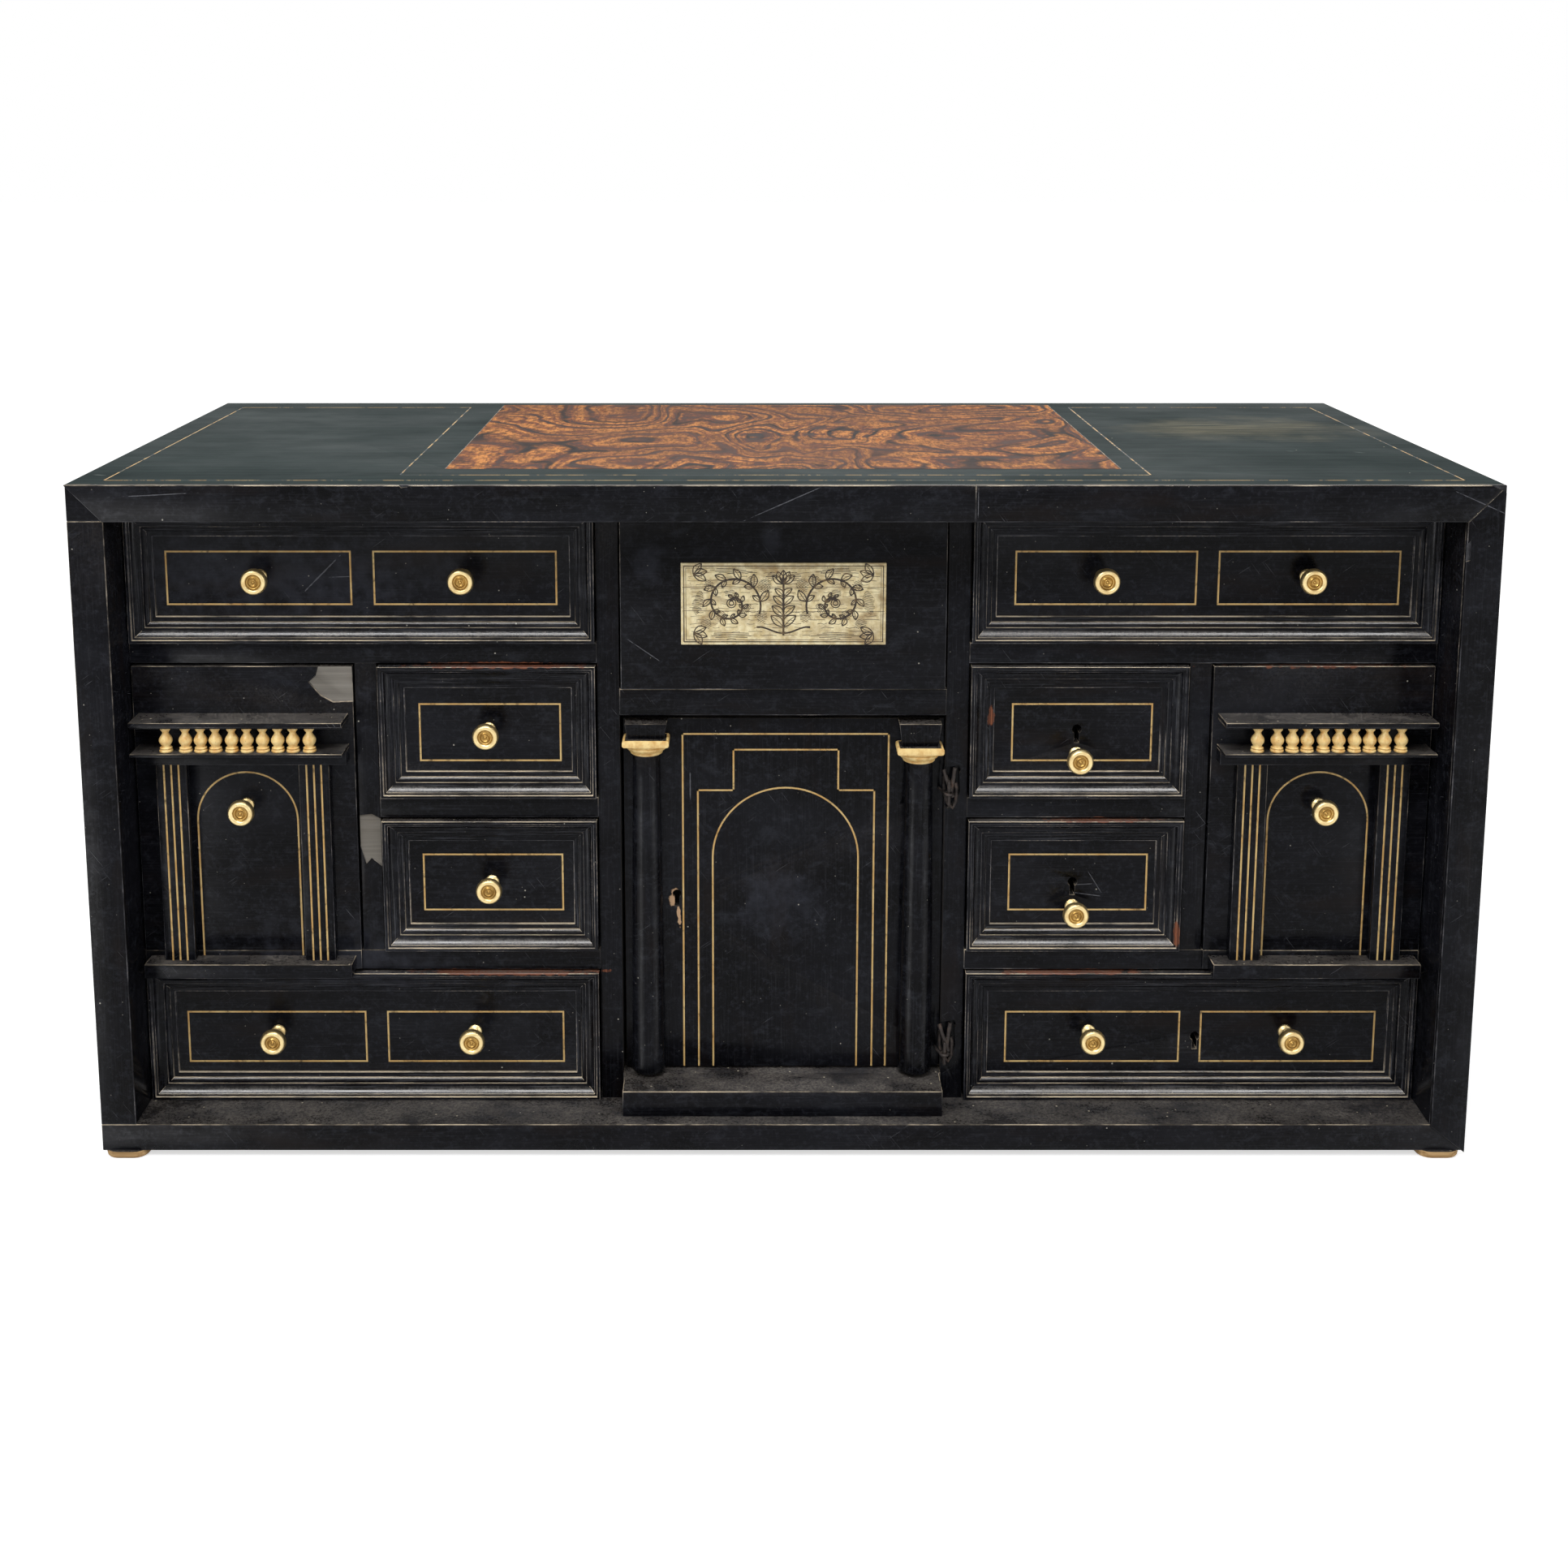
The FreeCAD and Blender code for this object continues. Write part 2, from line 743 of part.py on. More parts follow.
def hinge_staples():
    """Upright wire pins on the right divider; the door's eyes turn about them."""
    parts = []
    for z in hinge_heights:
        low = Vector(hinge_x, hinge_y, z - hinge_pin_half_height)
        high = Vector(hinge_x, hinge_y, z + hinge_pin_half_height)
        bends = [Part.makeSphere(hinge_wire_radius, end) for end in (low, high)]
        parts.append(rod(hinge_wire_radius, low, high).fuse([staple_legs(z)] + bends))
    return solids(*parts)


def eye_shank(z):
    """The shank of an eye, from the ring into the door."""
    start = Vector(hinge_x - hinge_eye_radius, hinge_y, z)
    end = Vector(start.x - hinge_shank_side, door_y + hinge_shank_depth, z)
    return rod(hinge_eye_wire_radius, start, end)


def hinge_eyes():
    parts = []
    for z in hinge_heights:
        middle = Vector(hinge_x, hinge_y, z)
        ring = Part.makeTorus(hinge_eye_radius, hinge_eye_wire_radius, middle, Vector(0, 0, 1))
        parts.append(ring.fuse(eye_shank(z)))
    return solids(*parts)


# Write every node

def save_case():
    save("top_board", top_board())
    save("burl_panel", burl_panel())
    save("bottom_board", bottom_board())
    save("left_side_board", side_board(-1))
    save("right_side_board", side_board(1))
    save("back_planks", back_planks())
    save("front_edge_facings", front_edge_facings())
    save("feet", feet())
    save("dividers", dividers())
    save("shelves", shelves())
    save("cupboard_floor", cupboard_floor())
    save("hinge_staples", hinge_staples())


def save_moulded_drawers():
    for drawer in moulded_drawers():
        name = drawer["name"]
        save(f"{name}_front", solids(front_board(drawer, panel_depth), moulding_strips(drawer)))
        save(f"{name}_box", drawer_box(drawer, panel_depth))
        save(f"{name}_knobs", knobs(drawer, panel_depth))
        if drawer["keyhole"]:
            x, z = drawer["keyhole"]
            reach = drawer["z_high"] - z
            y = drawer_back_of_front(panel_depth)
            lock = name.replace("_drawer", "_lock")
            save(f"{lock}_case", moved(lock_case(reach), x, y, z))
            save(f"{lock}_bolt", moved(lock_bolt(reach), x, y, z))


def save_tall_drawers():
    for side, hand in ((-1, "left"), (1, "right")):
        drawer = tall_drawer(side, hand)
        name = drawer["name"]
        save(f"{name}_front", tall_front(drawer))
        save(f"{name}_box", drawer_box(drawer, plain_front_depth))
        save(f"{name}_balusters", balusters(drawer))
        save(f"{name}_knob", knobs(drawer, plain_front_depth))


def save_centre_drawer():
    drawer = centre_drawer()
    save("centre_drawer_front", front_board(drawer, plain_front_depth))
    save("centre_drawer_box", drawer_box(drawer, plain_front_depth))
    save("centre_drawer_plaque", plaque(drawer))


def save_door():
    save("door_panel", door_panel())
    save("door_columns", door_columns())
    save("door_capitals", door_capitals())
    save("door_hinge_eyes", hinge_eyes())
    x, y, z = door_key_place()
    reach = door_lock_backset - door_lock_setback
    for node, shape in (("door_lock_case", lock_case(reach)), ("door_lock_bolt", lock_bolt(reach))):
        save(node, moved(turned(shape, -90), x, y + door_thickness, z))


os.makedirs("parts", exist_ok=True)
save_case()
save_moulded_drawers()
save_tall_drawers()
save_centre_drawer()
save_door()
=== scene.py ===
import json
import math
import random

import bmesh
import bpy
from bpy.props import FloatProperty, FloatVectorProperty, IntProperty, PointerProperty
from mathutils import Matrix, Vector


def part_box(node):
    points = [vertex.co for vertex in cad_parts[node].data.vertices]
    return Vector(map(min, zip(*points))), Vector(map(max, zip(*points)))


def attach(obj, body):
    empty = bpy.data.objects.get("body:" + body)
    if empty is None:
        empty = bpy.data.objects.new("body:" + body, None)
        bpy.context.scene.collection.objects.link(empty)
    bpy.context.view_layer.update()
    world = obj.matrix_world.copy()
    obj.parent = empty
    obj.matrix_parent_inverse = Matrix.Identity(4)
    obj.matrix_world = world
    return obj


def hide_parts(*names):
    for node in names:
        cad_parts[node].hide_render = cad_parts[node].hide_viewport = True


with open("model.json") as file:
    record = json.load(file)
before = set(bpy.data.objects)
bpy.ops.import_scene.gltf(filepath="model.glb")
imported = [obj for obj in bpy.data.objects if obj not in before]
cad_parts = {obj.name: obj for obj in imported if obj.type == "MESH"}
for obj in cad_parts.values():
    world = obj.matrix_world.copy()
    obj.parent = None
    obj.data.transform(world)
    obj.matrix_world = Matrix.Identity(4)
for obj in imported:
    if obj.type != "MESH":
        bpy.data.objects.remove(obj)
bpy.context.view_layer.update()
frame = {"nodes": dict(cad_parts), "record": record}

# Looks of an ebonised table cabinet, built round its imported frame.
# Places and sizes are written in millimetres in the frame's own axes; MM turns them into metres.

bl_info = {
    "name": "Ebonised Table Cabinet",
    "version": (1, 0, 0),
    "blender": (4, 5, 0),
    "location": "View3D > Sidebar > Cabinet",
    "description": "Gives the frame of an ebonised table cabinet its mouldings, inlay, turnings and finishes",
    "category": "Object",
}

MM = 0.001
node_body = {node: body for body, nodes in frame["record"]["behaviour"]["bodies"].items() for node in nodes}
node_slot = {part["node"]: part["material_slot"] for part in frame["record"]["subparts"]}


# Settings

def linear(code):
    """A linear colour from an sRGB hex code."""
    channels = [int(code[i:i + 2], 16) / 255 for i in (1, 3, 5)]
    return tuple(c / 12.92 if c <= 0.04045 else ((c + 0.055) / 1.055) ** 2.4 for c in channels) + (1.0,)


def length(name, description, millimetres):
    return FloatProperty(name=name, description=description, default=millimetres * MM, min=0, unit="LENGTH")


def colour(name, description, code):
    return FloatVectorProperty(
        name=name, description=description, default=linear(code), size=4, subtype="COLOR", min=0, max=1
    )


class CabinetSizes(bpy.types.PropertyGroup):
    """Sizes of the finish that the frame doesn't hold."""
    string_width: length("String width", "Width of the pale string inlay", 1.1)
    string_stand: length("String stand", "How far the inlay stands out of the black wood", 0.05)
    worn_edge: length("Worn edge", "Width of the rubbed edges of the boards", 0.55)
    moulding_edge: length("Moulding edge", "Width of the rubbed edges of the mouldings", 0.3)
    box_edge: length("Box edge", "Width of the softened edges of the drawer boxes", 0.5)
    engraved_line: length("Engraved line", "Width of a line engraved in the plaque", 0.56)
    turning_steps: IntProperty(
        name="Turning steps", description="Flats round a turned knob", default=40, min=12
    )


class CabinetColours(bpy.types.PropertyGroup):
    """Colours of the finishes."""
    black: colour("Ebonised black", "Black stain under the wax", "#050507")
    # Haze of old wax, partly a painted reflection: a blue-grey tone that stands in for light reflected in the
    # black
    haze_and_reflection: colour("Wax haze and reflection", "Blue-grey haze of the old wax on the black, partly a painted reflection", "#121318")
    black_brown: colour("Brown under the black", "Where the stain has gone thin", "#120d0c")
    rubbed: colour("Rubbed edge", "Red-brown pearwood where the stain is rubbed through", "#794a34")
    top_green: colour("Top", "Black of the top, faded to a slate green", "#212b2b")
    burl: colour("Burl", "Warm ground of the burl veneer", "#955a2c")
    burl_dark: colour("Burl figure", "Dark bands and eyes of the burl", "#1f0e08")
    string: colour("String inlay", "Boxwood strings, yellowed", "#c6aa74")
    brass: colour("Brass", "Turned and waxed brass", "#e2cd98")
    gilt: colour("Turned bone", "Yellowed balusters and capitals", "#ecd08f")
    bone: colour("Plaque", "Cream ground of the plaque", "#eaddb4")
    ink: colour("Engraving", "Dark filling of the engraved lines", "#2c2117")
    iron: colour("Iron", "Old iron of the locks and hinges", "#332e2c")
    oak: colour("Bare wood", "Unfinished boards of the drawers and the back", "#94704a")
    # Dust, which on the moulding slopes that look up also serves as a painted sheen
    dust_and_sheen: colour("Dust", "Dust on the ledges, and painted sheen on moulding slopes that look up", "#544f4a")


def sizes():
    return bpy.context.scene.cabinet_sizes


def colours():
    return bpy.context.scene.cabinet_colours


# Modelling by hand

def deselect():
    if bpy.context.object and bpy.context.object.mode != "OBJECT":
        bpy.ops.object.mode_set(mode="OBJECT")
    bpy.ops.object.select_all(action="DESELECT")


def work_on(piece):
    """Makes a piece the only selected one."""
    deselect()
    piece.select_set(True)
    bpy.context.view_layer.objects.active = piece


def edit(piece, kind="FACE"):
    """Opens a piece in edit mode with nothing of it selected."""
    work_on(piece)
    bpy.ops.object.mode_set(mode="EDIT")
    bpy.ops.mesh.select_mode(type=kind)
    bpy.ops.mesh.select_all(action="DESELECT")


def pick(piece, faces=None, edges=None, verts=None):
    """Selects the faces, edges or corners of the open mesh that pass a test."""
    mesh = bmesh.from_edit_mesh(piece.data)
    for group, test in ((mesh.faces, faces), (mesh.edges, edges), (mesh.verts, verts)):
        if test:
            for item in group:
                item.select_set(bool(test(item)))
    mesh.select_flush_mode()
    bmesh.update_edit_mesh(piece.data)


def close_edit():
    bpy.ops.object.mode_set(mode="OBJECT")


def block(low, high):
    """A block between two corners in millimetres, its place in its mesh."""
    deselect()
    middle = [(a + b) / 2 * MM for a, b in zip(low, high)]
    bpy.ops.mesh.primitive_cube_add(size=1, location=middle, scale=[(b - a) * MM for a, b in zip(low, high)])
    bpy.ops.object.transform_apply(location=True, rotation=True, scale=True)
    return bpy.context.object


def push(distance, direction):
    """Extrudes the selected faces by millimetres along a direction."""
    bpy.ops.mesh.extrude_region_move(
        TRANSFORM_OT_translate={"value": [distance * MM * d for d in direction]}
    )


def slide_selected(offset):
    bpy.ops.transform.translate(value=[v * MM for v in offset])


def cut_plane(piece, point, normal):
    """Cuts a piece at a plane and closes it, keeping the side that the normal points to."""
    edit(piece)
    bpy.ops.mesh.select_all(action="SELECT")
    bpy.ops.mesh.bisect(
        plane_co=[v * MM for v in point], plane_no=normal, use_fill=True, clear_inner=True
    )
    close_edit()


def joined(pieces, materials=()):
    """Several pieces as one; with their finishes given, each face keeps the one it has."""
    for piece in pieces:
        for material in materials:
            piece.data.materials.append(finish(material))
    work_on(pieces[0])
    for piece in pieces:
        piece.select_set(True)
    if len(pieces) > 1:
        bpy.ops.object.join()
    return bpy.context.object


def modify(piece, kind, **settings):
    """Adds a modifier and applies it."""
    work_on(piece)
    modifier = piece.modifiers.new(kind.title(), kind)
    for name, value in settings.items():
        setattr(modifier, name, value)
    bpy.ops.object.modifier_apply(modifier=modifier.name)


def soften(piece, width, edge_material=-1, segments=2, angle=30):
    """Rounds the sharp edges; the rounded faces may take another of the piece's materials."""
    modify(
        piece, "BEVEL", width=width, segments=segments, limit_method="ANGLE",
        angle_limit=math.radians(angle), material=edge_material, miter_outer="MITER_ARC",
    )
    bpy.ops.object.shade_smooth_by_angle(angle=math.radians(angle))


def carve(piece, cutter):
    """Takes the cutter's shape out of a piece; the cut faces keep the cutter's material."""
    modify(piece, "BOOLEAN", object=cutter, operation="DIFFERENCE", solver="EXACT")
    deselect()
    bpy.data.objects.remove(cutter)


def copy_at(piece, offset):
    """A copy with its own mesh, moved in its mesh."""
    deselect()
    twin = bpy.data.objects.new(piece.name, piece.data.copy())
    bpy.context.collection.objects.link(twin)
    twin.data.transform(Matrix.Translation([v * MM for v in offset]))
    return twin


def point_at(place):
    """A new piece of a single corner at a place in millimetres, open with that corner selected."""
    deselect()
    bpy.ops.mesh.primitive_plane_add(size=MM)
    piece = bpy.context.object
    edit(piece, "VERT")
    bpy.ops.mesh.select_all(action="SELECT")
    bpy.ops.mesh.merge(type="CENTER")
    slide_selected(place)
    return piece


def close_skin():
    """Merges the doubled corners of the open piece, turns its faces outwards and closes it."""
    bpy.ops.mesh.select_all(action="SELECT")
    bpy.ops.mesh.remove_doubles(threshold=1e-6)
    bpy.ops.mesh.normals_make_consistent(inside=False)
    close_edit()


def turned(profile, axis, steps):
    """A solid turned round an axis through the origin, from (radius, height) points in millimetres."""
    along = Vector(axis)
    points = [Vector((r, 0, 0)) + along * h for r, h in profile]
    piece = point_at(points[0])
    for before, after in zip(points, points[1:]):
        push(1, after - before)
    bpy.ops.mesh.select_all(action="SELECT")
    bpy.ops.mesh.spin(steps=steps, angle=math.tau, center=(0, 0, 0), axis=along)
    close_skin()
    return piece


def prism(outline, y_low, y_high):
    """A plate with an outline of (x, z) points, between two depths."""
    (start_x, start_z) = outline[0]
    piece = point_at((start_x, y_low, start_z))
    for (ax, az), (bx, bz) in zip(outline, outline[1:] + outline[:1]):
        push(1, (bx - ax, 0, bz - az))
    bpy.ops.mesh.select_all(action="SELECT")
    bpy.ops.mesh.remove_doubles(threshold=1e-6)
    bpy.ops.mesh.edge_face_add()
    push(y_high - y_low, (0, 1, 0))
    close_skin()
    return piece


def lost_veneer(piece, outline, face_y, material, depth):
    """Cuts a flake of some depth out of a finished front and shows another material in it."""
    clear = 2
    let_in(piece, prism(outline, face_y - clear, face_y + depth), material)


def let_in(piece, cutter, material):
    """Takes the cutter's shape out of a finished piece, with another material on the cut faces."""
    cutter.data.materials.append(finish(material))
    modify(piece, "BOOLEAN", object=cutter, operation="DIFFERENCE", solver="EXACT", material_mode="TRANSFER")
    deselect()
    bpy.data.objects.remove(cutter)


def wires(name, lines, width, flat):
    """Wires along lines of (x, y, z) points with a thickness each, pressed flat at one depth if given."""
    deselect()
    data = bpy.data.curves.new(name, "CURVE")
    data.dimensions = "3D"
    data.bevel_depth = width / 2
    data.bevel_resolution = 1
    data.use_fill_caps = True
    for points, thick in lines:
        spline = data.splines.new("POLY")
        spline.points.add(len(points) - 1)
        for point, place in zip(spline.points, points):
            point.co = [v * MM for v in place] + [1]
            point.radius = thick
    piece = bpy.data.objects.new(name, data)
    bpy.context.collection.objects.link(piece)
    work_on(piece)
    bpy.ops.object.convert(target="MESH")
    piece = bpy.context.object
    if flat is not None:
        pressed = 0.12
        edit(piece, "VERT")
        bpy.ops.mesh.select_all(action="SELECT")
        bpy.ops.transform.resize(value=(1, pressed, 1), center_override=(0, flat * MM, 0))
        close_edit()
    return piece


def arc(start, through, end, steps):
    """Points on the arc from one point to another through a third, the first left out."""
    (ax, ay), (bx, by), (cx, cy) = start, through, end
    d = 2 * (ax * (by - cy) + bx * (cy - ay) + cx * (ay - by))
    ux = ((ax**2 + ay**2) * (by - cy) + (bx**2 + by**2) * (cy - ay) + (cx**2 + cy**2) * (ay - by)) / d
    uy = ((ax**2 + ay**2) * (cx - bx) + (bx**2 + by**2) * (ax - cx) + (cx**2 + cy**2) * (bx - ax)) / d
    radius = math.dist(start, (ux, uy))
    first, middle, last = (math.atan2(y - uy, x - ux) for x, y in (start, through, end))
    sweep = (last - first) % math.tau
    if (middle - first) % math.tau > sweep:
        sweep -= math.tau
    return [
        (ux + radius * math.cos(first + sweep * k / steps), uy + radius * math.sin(first + sweep * k / steps))
        for k in range(1, steps + 1)
    ]


def corners(node):
    """A CAD node's lowest and highest corners in millimetres."""
    low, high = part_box(node)
    return low / MM, high / MM


def waxed_pieces():
    """The collection of the waxed black pieces, which the gloss lamps light."""
    return bpy.data.collections.get("Waxed black") or bpy.data.collections.new("Waxed black")


def settle(piece, name, materials, node, replaces=()):
    """Names a finished piece, gives it its finishes, and lets it ride with a CAD node's body. The waxed
    black pieces also go where the gloss lamps find them."""
    piece.name = name
    piece.data.name = name
    if materials[0].startswith("Ebonised"):
        waxed_pieces().objects.link(piece)
    kept = [polygon.material_index for polygon in piece.data.polygons]
    piece.data.materials.clear()
    for material in materials:
        piece.data.materials.append(finish(material))
    for polygon, index in zip(piece.data.polygons, kept):
        polygon.material_index = min(index, len(materials) - 1)
    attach(piece, node_body[node])
    if replaces:
        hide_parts(*replaces)
    return piece


def merged_copy(node):
    """A copy of a CAD node's mesh, merged into whole faces."""
    deselect()
    piece = bpy.data.objects.new(node, frame["nodes"][node].data.copy())
    bpy.context.collection.objects.link(piece)
    edit(piece)
    bpy.ops.mesh.customdata_custom_splitnormals_clear()
    bpy.ops.mesh.select_all(action="SELECT")
    bpy.ops.mesh.remove_doubles(threshold=5e-6)
    bpy.ops.mesh.dissolve_limited(angle_limit=math.radians(0.5))
    close_edit()
    for polygon in piece.data.polygons:
        polygon.material_index = 0
    return piece


def paint_faces(piece, index, test=None):
    """Gives all faces, or those that pass a test, another of the piece's materials."""
    for polygon in piece.data.polygons:
        if test is None or test(polygon):
            polygon.material_index = index


def dressed(node, materials, edge, other=None):
    """A CAD node with softened edges; the second material goes on the edges, the third on other faces."""
    piece = merged_copy(node)
    if other:
        paint_faces(piece, 2, other)
    for material in materials:
        piece.data.materials.append(finish(material))
    soften(piece, edge, edge_material=1)
    return settle(piece, f"{node}_dressed", materials, node, (node,))


# Finishes

def connect(tree, node, inputs):
    """Gives a node's inputs their links, or their constants, where a hex code stands for a colour."""
    for name, value in inputs.items():
        if isinstance(value, str):
            value = linear(value)
        if isinstance(value, bpy.types.Node):
            value = next(output for output in value.outputs if output.enabled)
        if isinstance(value, bpy.types.NodeSocket):
            tree.links.new(value, node.inputs[name])
        else:
            node.inputs[name].default_value = value


def add_node(tree, kind, inputs=None, stops=(), **settings):
    """Adds a node with its settings, its inputs by name or number, and a ramp's stops. A Map Range's inputs
    are the value, the range that it comes from, and the range that it goes to, nought to one if not given."""
    node = tree.nodes.new(f"ShaderNode{kind}")
    for name, value in settings.items():
        setattr(node, name, value)
    connect(tree, node, inputs or {})
    if stops:
        elements = node.color_ramp.elements
        elements.remove(elements[1])
        elements[0].position, elements[0].color = stops[0]
        for place, value in stops[1:]:
            elements.new(place).color = value
    return node


def new_finish(name):
    """An empty material with its Principled shader, and the object's own coordinates."""
    material = bpy.data.materials.new(name)
    material.use_nodes = True
    tree = material.node_tree
    tree.nodes.clear()
    shader = add_node(tree, "BsdfPrincipled")
    add_node(tree, "OutputMaterial", {"Surface": shader})
    return tree, shader, add_node(tree, "TexCoord").outputs["Object"]


def per_mm(x, y, z):
    """Scale of a pattern whose features are so many millimetres long on each axis."""
    return (1 / (x * MM), 1 / (y * MM), 1 / (z * MM))


def pattern(tree, place, size, turn=(0, 0, 0), detail=3.0, rough=0.55, warp=0.0):
    """Cloudy pattern whose features are so many millimetres long on each axis."""
    mapped = add_node(tree, "Mapping", {"Vector": place, "Rotation": turn})
    sized = add_node(tree, "Mapping", {"Vector": mapped, "Scale": per_mm(*size)})
    return add_node(tree, "TexNoise", {
        "Vector": sized, "Scale": 1.0, "Detail": detail, "Roughness": rough, "Distortion": warp,
    })


def along_grain(along, fine, long):
    """Sizes of the features of a grain that runs along one axis."""
    return [long if axis == along else fine for axis in "XYZ"]


def layers(tree, base, coats):
    """Lays colours over a base one by one. A coat is its colour, its mask, the mask's values where it
    starts and is full, if these aren't nought and one, and how much it covers where it is full."""
    for colour_over, mask, *span, share in coats:
        start, full = span or (0, 1)
        cover = add_node(tree, "MapRange", {0: mask, 1: start, 2: full, 4: share})
        base = add_node(tree, "Mix", {0: cover, 6: base, 7: colour_over}, data_type="RGBA")
    return base


def scratch_mask(tree, place, turn, thin=0.35, long=26.0):
    """Short straight scratches in one direction."""
    lines = pattern(tree, place, (long, thin * 40, thin), turn, detail=1.0)
    where = pattern(tree, place, (34, 34, 34), detail=2.0)
    return add_node(tree, "Math", {
        0: add_node(tree, "MapRange", {0: lines, 1: 0.74, 2: 0.79}),
        1: add_node(tree, "MapRange", {0: where, 1: 0.52, 2: 0.62}),
    }, operation="MULTIPLY")


def speck_mask(tree, place, cell, radius):
    """Small round specks, one in some of the cells of a grid."""
    sized = add_node(tree, "Mapping", {"Vector": place, "Scale": per_mm(cell, cell, cell)})
    dots = add_node(tree, "TexVoronoi", {"Vector": sized, "Scale": 1.0})
    chosen = add_node(tree, "SeparateColor", {"Color": dots.outputs["Color"]})
    rim = radius / cell
    return add_node(tree, "Math", {
        0: add_node(tree, "MapRange", {0: dots.outputs["Distance"], 1: rim, 2: 0.6 * rim}),
        1: add_node(tree, "MapRange", {0: chosen.outputs[0], 1: 0.55, 2: 0.6}),
    }, operation="MULTIPLY")


def mark_mask(tree, place, marks, ragged=0.5, size=6.0, full=0.8):
    """Marks at (x, y, z) with half sizes in millimetres and a tilt in degrees, their edges ragged; they
    fade out from a share of their size."""
    edge = pattern(tree, place, (size, size, size), detail=4.0)
    edge = add_node(tree, "MapRange", {0: edge, 1: 0.3, 2: 0.7, 3: -ragged, 4: ragged})
    total = 0.0
    for centre, halves, tilt in marks:
        near = add_node(tree, "Mapping", {
            "Vector": place, "Location": [v * MM for v in centre], "Rotation": (0, -math.radians(tilt), 0),
            "Scale": [v * MM for v in halves],
        }, vector_type="TEXTURE")
        reach = add_node(tree, "VectorMath", {0: near}, operation="LENGTH").outputs["Value"]
        worn = add_node(tree, "Math", {0: reach, 1: edge}, operation="ADD")
        inside = add_node(tree, "MapRange", {0: worn, 1: 1.0, 2: full})
        total = add_node(tree, "Math", {0: total, 1: inside}, operation="MAXIMUM")
    return total


def facing_up(tree, low=0.12, high=0.6):
    """One on faces that look up, nought elsewhere."""
    normal = add_node(tree, "NewGeometry").outputs["Normal"]
    split = add_node(tree, "SeparateXYZ", {0: normal})
    return add_node(tree, "MapRange", {0: split.outputs["Z"], 1: low, 2: high})


# Marks of use and of painted reflection, each with its middle, its half sizes and its tilt.
# Places where the stain is rubbed through to red-brown wood: the top edges of some fronts, and two spots
# on the locked drawers
WORN_THROUGH = (
    ((-182, -146, 319.6), (60, 9, 1.9), 0), ((-178, -146, 112.2), (64, 9, 1.7), 0),
    ((346, -142, 318.6), (72, 8, 1.5), 0), ((205, -146, 216.6), (40, 9, 1.3), 0),
    ((134, -148, 283), (2.6, 9, 8), 0), ((257.5, -148, 138), (2.6, 9, 8), 0),
    ((185, -146, 112.4), (52, 9, 1.2), 0),
)
# Pale wood round the door's keyhole
PALE_WOOD = (((-71.2, -140, 160.5), (2.6, 4, 6.5), -14), ((-67.8, -140, 148), (1.2, 3, 9), 4))
# Thick dust: the step under the door, the ledges of the tall fronts
DUSTY = (
    ((0, -165, 40.4), (108, 14, 6), 0), ((-346, -160, 283), (80, 30, 46), 0),
    ((346, -160, 283), (80, 30, 46), 0),
)
# Finger-marks that dulled the wax, and wide blue-grey patches on the left fronts that are a painted
# reflection
DULLED_AND_SHEEN = (
    ((-7.5, -149, 402), (8, 6, 9.5), 20), ((-86, -149, 385), (15, 6, 17), 0),
    ((-84, -142, 318), (24, 6, 8), 0), ((-290, -142, 303), (36, 8, 7), -12),
    ((-4, -140, 158), (28, 5, 30), 35), ((-345, -142, 372), (26, 6, 14), 10),
    ((-320, -142, 376), (110, 6, 34), 0), ((-280, -149, 120), (90, 8, 40), 0),
)
# Single long scratches
SCRATCHED = (
    ((-293.7, -142, 378), (17, 3, 0.45), 45), ((-281, -142, 376), (8, 3, 0.25), 2),
    ((36, -147, 340), (15, 4, 0.3), 50), ((299, -142, 312), (11, 3, 0.4), -38),
    ((364, -142, 304), (18, 3, 0.35), -30), ((-88, -149, 329), (14, 3, 0.3), -35),
    ((204, -142, 172), (9, 3, 0.3), -58), ((200, -142, 163), (10, 3, 0.3), -8),
    ((197, -142, 170), (7, 3, 0.25), 3), ((2, -185, 433), (30, 4, 0.3), 24),
    ((-60, -140, 236), (0.4, 3, 12), 0), ((118, -185, 433), (0.25, 4, 11), 0),
    ((425, -185, 432), (18, 4, 0.3), -24), ((-384, -185, 437), (24, 4, 0.3), 3),
)
# Dull oval on the right of the top
RUBBED_OVAL = (((335, 45, 443), (100, 62, 40), 0),)


